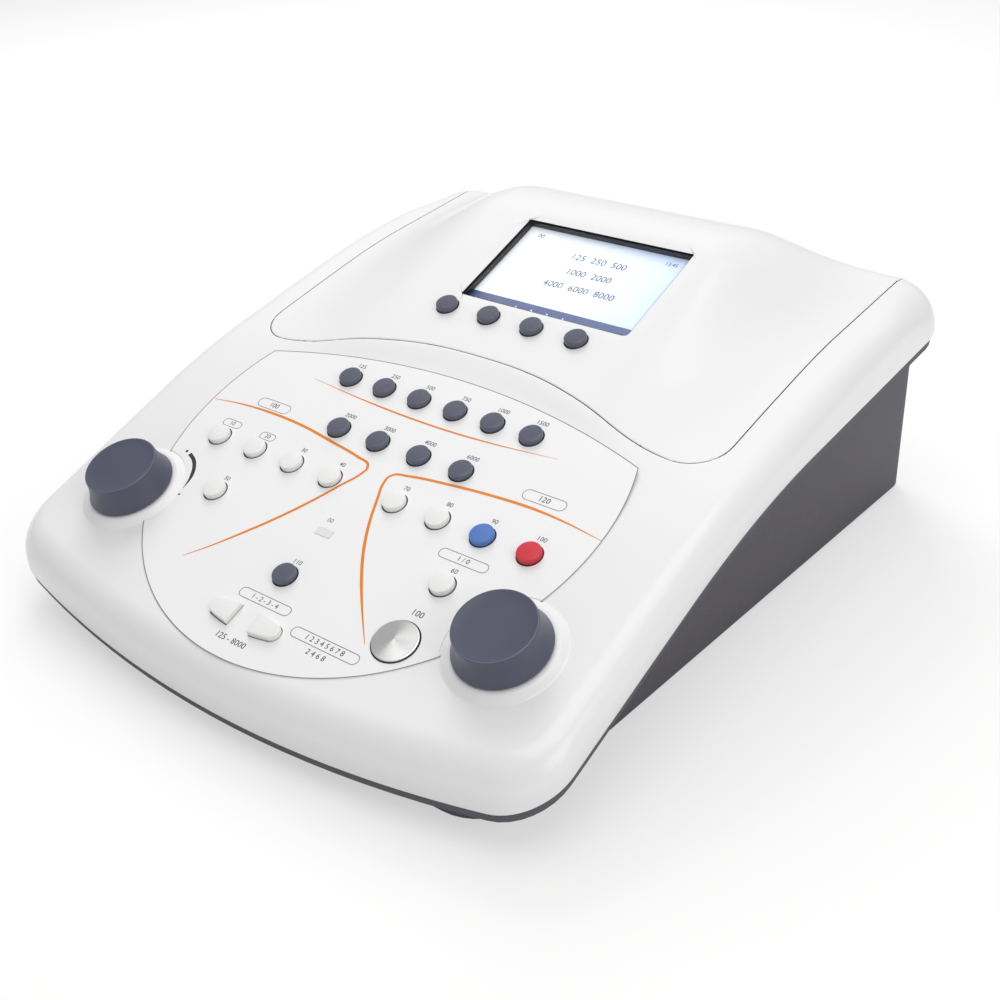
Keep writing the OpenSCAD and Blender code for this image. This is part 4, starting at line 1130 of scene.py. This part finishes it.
class RepeatTree:
    """Geometry Nodes tree that sets one shape on every point, with a turn, a size and a finish."""

    def __init__(self) -> None:
        """Build the tree with named inputs."""
        tree = bpy.data.node_groups.new("set_on_places", "GeometryNodeTree")
        face = tree.interface
        for name, kind in (("Places", "Geometry"), ("Shape", "Object"), ("Turn", "Vector"), ("Size", "Float"),
                           ("Finish", "Material")):
            face.new_socket(name, in_out="INPUT", socket_type="NodeSocket" + kind)
        face.new_socket("Pieces", in_out="OUTPUT", socket_type="NodeSocketGeometry")
        nodes, links = tree.nodes, tree.links
        start, end = nodes.new("NodeGroupInput"), nodes.new("NodeGroupOutput")
        info = nodes.new("GeometryNodeObjectInfo")
        put = nodes.new("GeometryNodeInstanceOnPoints")
        real = nodes.new("GeometryNodeRealizeInstances")
        coat = nodes.new("GeometryNodeSetMaterial")
        for one, other in ((start.outputs["Places"], put.inputs["Points"]),
                           (start.outputs["Shape"], info.inputs["Object"]),
                           (info.outputs["Geometry"], put.inputs["Instance"]),
                           (start.outputs["Turn"], put.inputs["Rotation"]),
                           (start.outputs["Size"], put.inputs["Scale"]),
                           (put.outputs["Instances"], real.inputs["Geometry"]),
                           (real.outputs["Geometry"], coat.inputs["Geometry"]),
                           (start.outputs["Finish"], coat.inputs["Material"]),
                           (coat.outputs["Geometry"], end.inputs["Pieces"])):
            links.new(one, other)
        self.tree = tree
        self.ids = {i.name: i.identifier for i in face.items_tree if getattr(i, "in_out", "") == "INPUT"}

    def run(self, name: str, shape: bpy.types.Object, places: np.ndarray,
            finish: bpy.types.Material, sharp: float) -> bpy.types.Object:
        """Set the shape on the places, turned square to the panel, and return one plain mesh.

        Args:
            name: Name of the new piece.
            shape: The shape, about its own origin.
            places: Points (n, 3) in millimetres.
            finish: The material.
            sharp: Angle above which an edge stays sharp, in degrees.

        Returns:
            The piece, with its place in its mesh.
        """
        mesh = bpy.data.meshes.new(name + "_places")
        mesh.from_pydata((np.asarray(places, float).reshape(-1, 3) * MM).tolist(), [], [])
        host = bpy.data.objects.new(name + "_places", mesh)
        bpy.context.scene.collection.objects.link(host)
        mod = host.modifiers.new("set_on_places", "NODES")
        mod.node_group = self.tree
        mod[self.ids["Shape"]] = shape
        mod[self.ids["Turn"]] = (PANEL.slope, 0.0, 0.0)
        mod[self.ids["Size"]] = 1.0
        mod[self.ids["Finish"]] = finish
        graph = bpy.context.evaluated_depsgraph_get()
        graph.update()
        plain = bpy.data.meshes.new_from_object(host.evaluated_get(graph))
        plain.name = name
        bpy.data.objects.remove(host)
        return finish_mesh(name, plain, sharp)


@dataclass
class Keys:
    """Every key: round caps, the metal key and the leaf pair."""

    finishes: Finishes
    repeat: RepeatTree
    shapes: list = field(default_factory=list)

    def cap_profile(self) -> list[tuple[float, float]]:
        """Profile of a round key from its crown to its stem."""
        r, top, dome = Layout.key_r, 3.4, 34.0
        out = [(0.0, top)]
        for q in np.linspace(0.6, 5.1, 9):
            out.append((float(q), top - dome + math.sqrt(dome**2 - q * q)))
        w0, lip = out[-1][1], 0.5
        for a in np.radians(np.linspace(20, 90, 6)):
            out.append((r - lip + lip * math.sin(a), w0 - 0.04 - lip * (1 - math.cos(a))))
        return out + [(r, 1.0), (r, -0.6)] + self.foot_profile(r)

    @staticmethod
    def foot_profile(r: float) -> list[tuple[float, float]]:
        """Profile of a key's flange and stem below the cover."""
        flange, stem = r + 1.1, 2.4
        return [(r, -2.54), (flange, -2.56), (flange, -3.74), (stem, -3.76), (stem, -7.0), (0.0, -7.0)]

    def build_round(self) -> None:
        """Set a cap on each round key's place."""
        verts, faces = lathe_data(self.cap_profile(), 64)
        shape = make_mesh("key_shape", verts, faces)
        self.shapes.append(shape)
        for k in Layout.keys():
            place = PANEL.place(np.array([[k.x, k.v, k.up]]))
            key = self.repeat.run(k.node + "_cap", shape, place, self.finishes[k.finish], 40.0)
            self.stands_for(key, k.node, "key_" + k.finish)

    @staticmethod
    def stands_for(key: bpy.types.Object, node: str, slot: str) -> None:
        """Let a key ride on its own body in place of its node."""
        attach(key, node)
        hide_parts(node)

    def build_disc(self) -> None:
        """Turned metal key with its shallow cone."""
        r = Layout.disc[2]
        cone, rim = 2.8, 1.3
        profile = [(0.0, cone - 0.02), (0.5, cone - 0.06), (r - 1.1, rim + 0.06), (r - 0.75, rim + 0.02),
                   (r - 0.35, rim), (r - 0.08, rim - 0.12), (r, rim - 0.4)] + self.foot_profile(r)
        verts, faces = lathe_data(profile, 128)
        shape = make_mesh("disc_shape", verts, faces)
        self.shapes.append(shape)
        place = PANEL.place(np.array([[Layout.disc[0], Layout.disc[1], 0.0]]))
        key = self.repeat.run("key_present_cap", shape, place, self.finishes["turned"], 25.0)
        self.stands_for(key, "key_present", "key_metal")

    def build_leaf(self, side: int) -> None:
        """One half of the leaf pair, with a rounded crown."""
        node = "key_minus" if side < 0 else "key_plus"
        loop = Layout.leaf(side, 0.0)
        top = 3.0
        foot, lip = Layout.leaf(side, 1.0), 0.6
        loops = [at(foot, -3.75), at(foot, -2.6), at(loop, -2.55), at(loop, 0.6), at(loop, top - 0.7)]
        for a in np.radians([22, 45, 68, 90]):
            loops.append(at(Layout.leaf(side, -lip * (1 - math.cos(a))), top - 0.7 + lip * math.sin(a)))
        loops.append(at(Layout.leaf(side, -2.6), top))
        verts, faces = stack_data(loops)
        key = make_mesh(node + "_cap", PANEL.place(verts), faces, self.finishes["white"], 40.0)
        self.stands_for(key, node, "key_white")

    def build_rings(self) -> None:
        """Black ring of painted shade that fills the gap round each round key, just clear of it."""
        groups: dict[float, list] = {}
        for k in Layout.keys():
            groups.setdefault(Layout.key_r, []).append((k.x, k.v, k.up - (FOIL if k.up else 0.0)))
        groups[Layout.disc[2]] = [(Layout.disc[0], Layout.disc[1], 0.0)]
        for i, (r, places) in enumerate(groups.items()):
            inner, outer, low, top = r + 0.1, r + 0.58, -0.5, 0.34
            verts, faces = band_data([(inner, low), (outer, low), (outer, top), (inner, top)], 96)
            shape = make_mesh(f"gap_ring_shape_{i + 1}", verts, faces)
            self.shapes.append(shape)
            places = PANEL.place(np.array(places))
            # These black rings are painted shade in the gaps round the keys and the metal key.
            fixed(self.repeat.run(f"gap_rings_{i + 1}", shape, places, self.finishes["seal"], 40.0))

    def build(self) -> None:
        """Build all keys."""
        self.build_rings()
        self.build_round()
        self.build_disc()
        self.build_leaf(-1)
        self.build_leaf(1)
        for s in self.shapes:
            bpy.data.objects.remove(s)
        LOG.info("keys built")


@dataclass
class Knobs:
    """The two rotary knobs and the white collars they stand in."""

    finishes: Finishes
    top: float = 16.6
    top_r: float = 18.4
    skirt_r: float = 21.7
    bottom: float = 3.0

    def profile(self) -> list[tuple[float, float]]:
        """Profile of a knob, from its dished top round its skirt to its hub."""
        t, r = self.top, self.top_r
        out = [(0.0, t - 0.75), (8.0, t - 0.68), (13.0, t - 0.5), (r - 1.6, t - 0.22), (r - 1.15, t - 0.05),
               (r - 0.85, t)]
        for a in np.radians(np.linspace(20, 90, 5)):
            out.append((r - 0.75 + 0.75 * math.sin(a), t - 0.75 * (1 - math.cos(a))))
        for q in np.linspace(0.08, 1, 12):
            h = t - 0.75 - q * (t - 0.75 - self.bottom - 0.8)
            out.append((r + (self.skirt_r - r) * q**1.7, h))
        hub, bore = 6.2, 3.05
        inside, base, skirt = t - 3.2, self.bottom, self.skirt_r
        out += [(skirt - 0.1, base + 0.3), (skirt - 0.4, base), (skirt - 2.2, base), (r - 2.4, inside), (hub, inside),
                (hub, base + 2), (bore, base + 2), (bore, inside - 0.3), (0.0, inside - 0.3)]
        return out

    def build(self) -> None:
        """Build both knobs, each with a thin lighter rim as painted highlight on its top edge, and their collars."""
        t, r, bush = self.top, self.top_r, Layout.bush_r
        # The rim band is a painted highlight on the knob's top edge.
        edge = [(r - 0.62, t - 0.1), (r - 0.5, t + 0.01), (r - 0.3, t - 0.01), (r - 0.2, t - 0.2)]
        collar = [(bush, 2.4), (22.4, 2.4), (23.2, 2.38), (24.0, 2.15), (26.2, 0.55), (26.9, 0.12), (27.4, 0.0),
                  (27.4, -0.3), (bush, -0.3)]
        for name, side in (("left", -1), ("right", 1)):
            shift = [side * Layout.knob_x, 0.0, 0.0]
            made = []
            for part, (verts, faces), finish, sharp in (
                    ("body", lathe_data(self.profile(), 160), "knob", 38.0),
                    ("rim", band_data(edge), "rim", 60.0), ("collar", band_data(collar), "cover", 50.0)):
                made.append(make_mesh(f"knob_{name}_{part}", PANEL.place(verts + shift), faces,
                                      self.finishes[finish], sharp))
            body, rim, ring = made
            for piece in (body, rim):
                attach(piece, f"dial_{name}")
            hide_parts(f"knob_{name}")
            fixed(ring)
        LOG.info("knobs built")


@dataclass
class Printing:
    """The printed overlay: foil, lines, tapered arcs and plain marks by the keys."""

    finishes: Finishes
    foil: float = FOIL
    ink: float = 0.05

    LINES = {
        "line_upper_left": [(-6.6, 57.6), (-8.2, 60.2), (-16, 62.2), (-35.6, 65.2), (-59, 68.3), (-81.6, 69.2),
                            (-103.5, 68.1), (-121, 65.6)],
        "line_lower_left": [(-6.6, 57.6), (-7.6, 53.5), (-12, 44.9), (-19.5, 30.2), (-29.0, 14.4), (-38.9, 0.3),
                            (-48, -11.7), (-57, -22)],
        "line_upper_right": [(6.6, 57.4), (8.4, 59.8), (15.7, 61.8), (38.3, 65.2), (62, 67.5), (85.6, 68.3),
                             (103, 67.2), (121.5, 64.8)],
        "line_lower_right": [(6.6, 57.4), (7.2, 53.0), (10.8, 44.3), (16.4, 31.8), (25, 16.9), (36.5, 1.6),
                             (48.0, -11.5), (59.5, -23.7)]}
    MIDDLE = [(-76.5, 97.9), (-40, 94.9), (-10, 93.5), (17, 93.4), (42, 94.6), (77, 97.9)]
    WEDGE = [(-104.0, 29.6), (-98.5, 27.0), (-94.0, 22.6), (-91.0, 17.0), (-89.6, 10.2)]
    KEY_NUMBERS = (125, 250, 500, 750, 1000, 1500, 2000, 3000, 4000, 6000,
                   10, 20, 30, 40, 50, 60, 70, 80, 90, 100, 110)
    FRAMES = (("dial_left", -84.0, 73.8, 22.0, 6.2), ("dial_right", 85.2, 74.6, 23.4, 6.2),
              ("left_1", -97.2, 55.1, 12.5, 4.8), ("left_2", -71.6, 55.1, 10.0, 4.8),
              ("start", 71.6, 31.2, 27.0, 5.4), ("leaf", 1.0, -25.2, 31.5, 5.4), ("kind", 43.2, -31.8, 39.0, 5.6))
    MARKS = (("dial_left", "100", -84.0, 73.8, 4.2), ("dial_right", "120", 85.2, 74.6, 4.2),
             ("start", "1 / 0", 71.6, 31.2, 3.6), ("leaf", "1 - 2 - 3 - 4", 1.0, -25.2, 3.5),
             ("kind_1", "1 2 3 4 5 6 7 8", 43.2, -31.8, 3.8), ("kind_2", "2 4 6 8", 42.9, -37.6, 3.8),
             ("leaf_row", "125 - 8000", 0.9, -48.4, 4.2), ("disc", "100", 70.8, -0.9, 4.4))

    def ribbon(self, name: str, points: list[tuple[float, float]], width: float, finish: str,
               thin_start: float, thin_end: float) -> None:
        """A thin printed line through panel points, with tapered ends.

        Args:
            name: Name of the piece.
            points: Points x, v that the line passes.
            width: Full width in millimetres.
            finish: Name of the ink.
            thin_start: Width at the start as a share of the full width.
            thin_end: Width at the end as a share of the full width.
        """
        p = np.array(points, float)
        t = np.concatenate([[0], np.cumsum(np.linalg.norm(np.diff(p, axis=0), axis=1))])
        q = np.linspace(0, t[-1], max(24, int(t[-1] / 1.5)))
        fine = self.curve(t, p, q)
        tang = np.gradient(fine, axis=0)
        tang /= np.linalg.norm(tang, axis=1, keepdims=True)
        side = np.column_stack([-tang[:, 1], tang[:, 0]])
        u = q / t[-1]
        grow, fade = np.clip(u / 0.35, 0, 1), np.clip((1 - u) / 0.35, 0, 1)
        wide = width * np.minimum(thin_start + (1 - thin_start) * grow, thin_end + (1 - thin_end) * fade)
        left, right = fine + side * wide[:, None] / 2, fine - side * wide[:, None] / 2
        loop = np.vstack([right, left[::-1]])
        n = len(q)
        low, top = at(loop, self.foil - 0.02), at(loop, self.foil + self.ink)
        faces = []
        for i in range(n - 1):
            j = 2 * n - 1 - i
            faces.append([i, i + 1, j - 1, j])
            faces.append([2 * n + j, 2 * n + j - 1, 2 * n + i + 1, 2 * n + i])
        for i in range(2 * n):
            j = (i + 1) % (2 * n)
            faces.append([i, j, 2 * n + j, 2 * n + i])
        self.put(name, np.vstack([low, top]), faces, finish)

    def put(self, name: str, verts: np.ndarray, faces: list, finish: str) -> None:
        """Put one printed piece on the panel.

        Args:
            name: Name of the piece.
            verts: Points (n, 3) as x, v, w of the panel.
            faces: Lists of point numbers.
            finish: Name of the ink.
        """
        fixed(make_mesh(name, PANEL.place(verts), faces, self.finishes[finish], 30.0))

    @staticmethod
    def curve(t: np.ndarray, p: np.ndarray, q: np.ndarray) -> np.ndarray:
        """Smooth curve through points (Catmull-Rom on the given lengths)."""
        out = np.zeros((len(q), 2))
        m = np.gradient(p, t, axis=0) if len(p) > 2 else np.repeat((p[1:] - p[:1]) / (t[1] - t[0]), 2, 0)
        for i, s in enumerate(q):
            k = min(int(np.searchsorted(t, s, side="right")) - 1, len(t) - 2)
            h = t[k + 1] - t[k]
            a = (s - t[k]) / h
            out[i] = ((2 * a**3 - 3 * a**2 + 1) * p[k] + (a**3 - 2 * a**2 + a) * h * m[k]
                      + (-2 * a**3 + 3 * a**2) * p[k + 1] + (a**3 - a**2) * h * m[k + 1])
        return out

    def outline(self) -> np.ndarray:
        """Outline of the overlay in panel x, v, anticlockwise."""
        r, cv = 122.0, 64.0
        tr, tv = FORM.ramp_r, 125.0 - FORM.ramp_r
        v_meet = (tr**2 - r**2 - tv**2 + cv**2) / (2 * (cv - tv))
        x_meet = math.sqrt(max(r**2 - (v_meet - cv) ** 2, 0))
        a0 = math.atan2(v_meet - cv, x_meet)
        a = np.linspace(math.pi - a0, 2 * math.pi + a0, 200)
        low = np.column_stack([r * np.cos(a), cv + r * np.sin(a)])
        b0 = math.atan2(v_meet - tv, x_meet)
        b = np.linspace(b0, math.pi - b0, 90)[1:-1]
        top = np.column_stack([tr * np.cos(b), tv + tr * np.sin(b)])
        return np.vstack([low, top])

    def square(self, name: str, x: float, v: float, side: float) -> None:
        """A small printed square."""
        loop = rounded_rect(x, v, side, side, 0.1, 2)
        self.put(name, *stack_data([at(loop, self.foil - 0.02), at(loop, self.foil + self.ink)]), "grey")

    def pill(self, name: str, x: float, v: float, w: float, h: float) -> None:
        """Thin rounded outline, like a key legend's frame.

        Args:
            name: Name of the piece.
            x, v: Its centre on the panel.
            w, h: Its full width and height.
        """
        outer = rounded_rect(x, v, w, h, h / 2 - 0.01, 10)
        self.put(name, *frame_data(outer, shrink(outer, 0.35), self.foil - 0.02, self.foil + self.ink), "line")

    def numeral(self, name: str, text: str, x: float, v: float, size: float, finish: str = "grey",
                w: float = FOIL) -> None:
        """A plain number printed at a place, as a thin closed mesh.

        Args:
            name: Name of the piece.
            text: The number.
            x: Place across the panel.
            v: Place up the panel.
            size: Size of the figures.
            finish: Name of the ink.
            w: Height of the ground that it is printed on.
        """
        curve = bpy.data.curves.new(name, "FONT")
        curve.body = text
        curve.size = size
        curve.extrude = 0.02
        curve.align_x = "CENTER"
        curve.align_y = "CENTER"
        curve.resolution_u = 3
        obj = bpy.data.objects.new(name, curve)
        bpy.context.scene.collection.objects.link(obj)
        graph = bpy.context.evaluated_depsgraph_get()
        mesh = bpy.data.meshes.new_from_object(obj.evaluated_get(graph))
        bpy.data.objects.remove(obj)
        co = np.zeros(len(mesh.vertices) * 3)
        mesh.vertices.foreach_get("co", co)
        co = co.reshape(-1, 3)
        faces = [list(p.vertices) for p in mesh.polygons]
        bpy.data.meshes.remove(mesh)
        self.put(name, co + [x, v, w + 0.02], faces, finish)

    def build(self) -> None:
        """Build the overlay's print."""
        edge = self.outline()
        self.put("overlay_border", *frame_data(edge, shrink(edge, 0.45), self.foil - 0.02, self.foil + 0.03), "line")
        for name, points in self.LINES.items():
            self.ribbon(name, points, 1.5, "orange", 0.9, 0.2)
        self.ribbon("line_middle", self.MIDDLE, 1.0, "orange", 0.15, 0.15)
        self.ribbon("dial_wedge", self.WEDGE, 2.0, "grey", 1.0, 0.05)
        self.square("dial_mark_large", -107.0, 30.4, 1.5)
        self.square("dial_mark_small", -88.6, 6.4, 1.0)
        keys = [k for k in Layout.keys() if not k.node.startswith("key_display")]
        for k, number in zip(keys, self.KEY_NUMBERS):
            lift = 8.6 if k.node in ("key_centre", "key_right_5", "key_left_5") else 9.4
            self.numeral(f"mark_{k.node}", str(number), k.x, k.v + lift, 3.5)
        for name, *frame in self.FRAMES:
            self.pill(f"frame_{name}", *frame)
        for name, *mark in self.MARKS:
            self.numeral(f"mark_{name}", *mark)
        self.numeral("mark_lens", "00", -2.0, 24.6, 3.4, "line")
        LOG.info("print built")


@dataclass
class Screen:
    """The lit display with plain content."""

    finishes: Finishes
    level: float = -4.8

    def bar(self, name: str, v0: float, v1: float, material: bpy.types.Material, lift: float) -> None:
        """A flat bar across the display, from v0 to v1, that stands a little over its surface.

        Args:
            name: Name of the piece.
            v0, v1: Its lower and upper edge on the panel.
            material: Its finish.
            lift: How far it stands over the display's surface.
        """
        cx, _, w, _ = Layout.screen
        loop = rounded_rect(cx, (v0 + v1) / 2, w + 2, v1 - v0, 0.05, 2)
        verts, faces = stack_data([at(loop, self.level - 0.01), at(loop, self.level + lift)])
        fixed(make_mesh(name, PANEL.place(verts), faces, material, 30.0))

    def build(self, printing: Printing) -> None:
        """Build the lit face and its content."""
        cx, cv, w, h = Layout.screen
        face = Lit("lcd_field", (0.74, 0.77, 0.80), (0.50, 0.60, 0.80), 0.42).build()
        slate = Lit("lcd_bar", (0.045, 0.07, 0.17), (0.055, 0.085, 0.2), 0.35).build()
        pale = Lit("lcd_pale", (0.8, 0.85, 0.95), (0.6, 0.7, 0.92), 0.6).build()
        self.finishes.by_name["lcd_ink"] = Lit("lcd_ink", (0.012, 0.014, 0.03), (0.012, 0.014, 0.03), 0.1).build()
        self.finishes.by_name["lcd_pale"] = pale
        self.bar("display_field", cv - h / 2 - 1, cv + h / 2 + 1, face, 0.02)
        self.bar("display_footer", cv - h / 2 - 1, cv - h / 2 + 8.6, slate, 0.06)
        ink = self.level + 0.03
        for i, text in enumerate(("125  250  500", "1000  2000", "4000  6000  8000")):
            printing.numeral(f"display_line_{i + 1}", text, cx + 2 + i, cv + 17 - i * 11.5, 6.2, "lcd_ink", ink)
        printing.numeral("display_header_left", "00", cx - w / 2 + 9, cv + h / 2 - 5, 4.2, "lcd_ink", ink)
        printing.numeral("display_header_right", "12:45", cx + w / 2 - 10, cv + h / 2 - 5, 3.4, "lcd_ink", ink)
        printing.numeral("display_footer_mark", "1        2        3        4", cx - 6, cv - h / 2 + 3.3, 3.6,
                         "lcd_pale", ink + 0.03)
        LOG.info("screen built")


@dataclass
class Carried:
    """Nodes of the solid model that keep their shape and get a finish."""

    finishes: Finishes
    nodes: dict[str, bpy.types.Object]

    FINISH = {
        "keypad_overlay": "overlay", "base_housing": "base", "edge_seal": "seal", "display_window": "window",
        "display_bezel": "bezel", "lcd_module": "dark", "display_key_board": "board", "display_key_mat": "silicone",
        "key_mat": "silicone", "keypad_board": "board", "main_board": "board", "monitor_speaker": "dark",
        "rear_panel": "plate", "jack_sockets": "dark", "usb_socket": "steel", "power_inlet": "dark",
        "indicator_lens": "lens", "keypad_cable": "cable", "display_cable": "cable", "cover_screws": "steel",
        "board_screws": "steel", "keypad_screws": "steel", "rubber_feet": "rubber", "encoder_left": "dark",
        "encoder_right": "dark", "shaft_left": "steel", "shaft_right": "steel"}

    def dress(self) -> None:
        """Give each carried node its finish."""
        for name, finish in self.FINISH.items():
            obj = self.nodes.get(name)
            if obj is None:
                continue
            for s in obj.material_slots:
                s.material = self.finishes[finish]
            if not obj.material_slots:
                obj.data.materials.append(self.finishes[finish])
        LOG.info("carried nodes dressed")


@dataclass
class Studio:
    """Pale floor, soft lamps and the camera of the photograph."""

    place: tuple[float, float, float] = (0.40298, -0.48110, 0.39050)
    right: tuple[float, float, float] = (0.779156, 0.625349, -0.043065)
    up: tuple[float, float, float] = (-0.270959, 0.397962, 0.876474)
    ahead: tuple[float, float, float] = (-0.565241, 0.671241, -0.479518)
    focal_px: float = 1393.44
    centre_px: tuple[float, float] = (476.31, 462.61)

    def camera(self) -> None:
        """Make the camera."""
        data = bpy.data.cameras.new("photo_camera")
        data.sensor_width = 36.0
        data.lens = self.focal_px / 1000.0 * 36.0
        data.shift_x = (500.0 - self.centre_px[0]) / 1000.0
        data.shift_y = (self.centre_px[1] - 500.0) / 1000.0
        data.clip_start, data.clip_end = 0.01, 50.0
        cam = bpy.data.objects.new("photo_camera", data)
        r, u, f = Vector(self.right), Vector(self.up), Vector(self.ahead)
        cam.matrix_world = Matrix.Translation(self.place) @ Matrix((r, u, -f)).transposed().to_4x4()
        bpy.context.scene.collection.objects.link(cam)
        bpy.context.scene.camera = cam

    def floor(self) -> None:
        """Make the pale floor, which shows white to the camera and keeps the shadow."""
        n = 96
        a = np.linspace(0, 2 * math.pi, n, endpoint=False)
        verts = np.column_stack([6000 * np.cos(a), 6000 * np.sin(a), np.zeros(n)])
        mesh = bpy.data.meshes.new("floor")
        mesh.from_pydata((verts * MM).tolist(), [], [list(range(n))])
        floor = bpy.data.objects.new("floor", mesh)
        bpy.context.scene.collection.objects.link(floor)
        m = Nodes("floor_pale")
        m.bsdf.inputs["Base Color"].default_value = (0.9, 0.9, 0.9, 1)
        m.bsdf.inputs["Roughness"].default_value = 0.9
        glow = m.add("ShaderNodeEmission")
        glow.inputs["Color"].default_value = (1, 1, 1, 1)
        glow.inputs["Strength"].default_value = 1.0
        mix = m.add("ShaderNodeMixShader")
        path = m.add("ShaderNodeLightPath")
        part = m.add("ShaderNodeMath", operation="MULTIPLY")
        part.inputs[1].default_value = 0.55
        m.link(path.outputs["Is Camera Ray"], part.inputs[0])
        m.link(part.outputs[0], mix.inputs["Fac"])
        m.link(m.bsdf.outputs[0], mix.inputs[1])
        m.link(glow.outputs[0], mix.inputs[2])
        out = m.tree.nodes["Material Output"]
        m.link(mix.outputs[0], out.inputs["Surface"])
        mesh.materials.append(m.mat)

    def world(self) -> None:
        """Even pale surroundings, white where the camera sees them, also through the window."""
        world = bpy.data.worlds.new("studio")
        bpy.context.scene.world = world
        world.use_nodes = True
        tree = world.node_tree
        back = tree.nodes["Background"]
        back.inputs["Color"].default_value = (1.0, 1.0, 1.0, 1)
        path = tree.nodes.new("ShaderNodeLightPath")
        seen = tree.nodes.new("ShaderNodeMath")
        seen.operation = "MAXIMUM"
        tree.links.new(path.outputs["Is Camera Ray"], seen.inputs[0])
        tree.links.new(path.outputs["Is Transmission Ray"], seen.inputs[1])
        reach = tree.nodes.new("ShaderNodeMapRange")
        reach.inputs["To Min"].default_value = 0.48
        reach.inputs["To Max"].default_value = 1.0
        tree.links.new(seen.outputs[0], reach.inputs["Value"])
        tree.links.new(reach.outputs["Result"], back.inputs["Strength"])

    def lamp(self, name: str, place: tuple[float, float, float], size: float, power: float,
             tone: tuple[float, float, float], mirrored: bool = True) -> None:
        """A square soft lamp that faces the object.

        Args:
            name: Name of the lamp.
            place: Its place in metres.
            size: Its side in metres.
            power: Its power in watts.
            tone: Its colour.
            mirrored: Whether it shows in glossy surfaces; if not, it leaves no glare.
        """
        data = bpy.data.lights.new(name, "AREA")
        data.size = size
        data.energy = power
        data.color = tone
        obj = bpy.data.objects.new(name, data)
        obj.location = place
        obj.rotation_mode = "QUATERNION"
        obj.rotation_quaternion = (Vector((0, 0, 0.06)) - Vector(place)).to_track_quat("-Z", "Y")
        obj.visible_glossy = mirrored
        bpy.context.scene.collection.objects.link(obj)

    def build(self) -> None:
        """Build the studio."""
        bpy.context.scene.view_settings.view_transform = "Standard"
        self.camera()
        self.floor()
        self.world()
        self.lamp("lamp_back_left", (-0.9, 0.9, 1.3), 1.0, 17.0, (1.0, 1.0, 1.0), False)
        self.lamp("lamp_top", (0.2, -0.1, 1.7), 1.4, 10.2, (1.0, 0.99, 0.98))
        self.lamp("lamp_right", (1.4, -0.3, 0.8), 0.9, 5.6, (1.0, 0.98, 0.95))
        LOG.info("studio built")


def main() -> None:
    """Build the whole scene on the frame."""
    logging.basicConfig(level=logging.INFO, format="%(name)s: %(message)s")
    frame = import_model()
    finishes = Finishes()
    repeat = RepeatTree()
    Carried(finishes, frame["nodes"]).dress()
    covers = Covers(finishes)
    for node, display in (("top_cover", False), ("display_cover", True)):
        piece = covers.build(node + "_shell", display)
        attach(piece, CONSOLE)
        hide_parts(node)
    Keys(finishes, repeat).build()
    Knobs(finishes).build()
    printing = Printing(finishes)
    printing.build()
    Screen(finishes).build(printing)
    Studio().build()


if __name__ == "__main__":
    main()
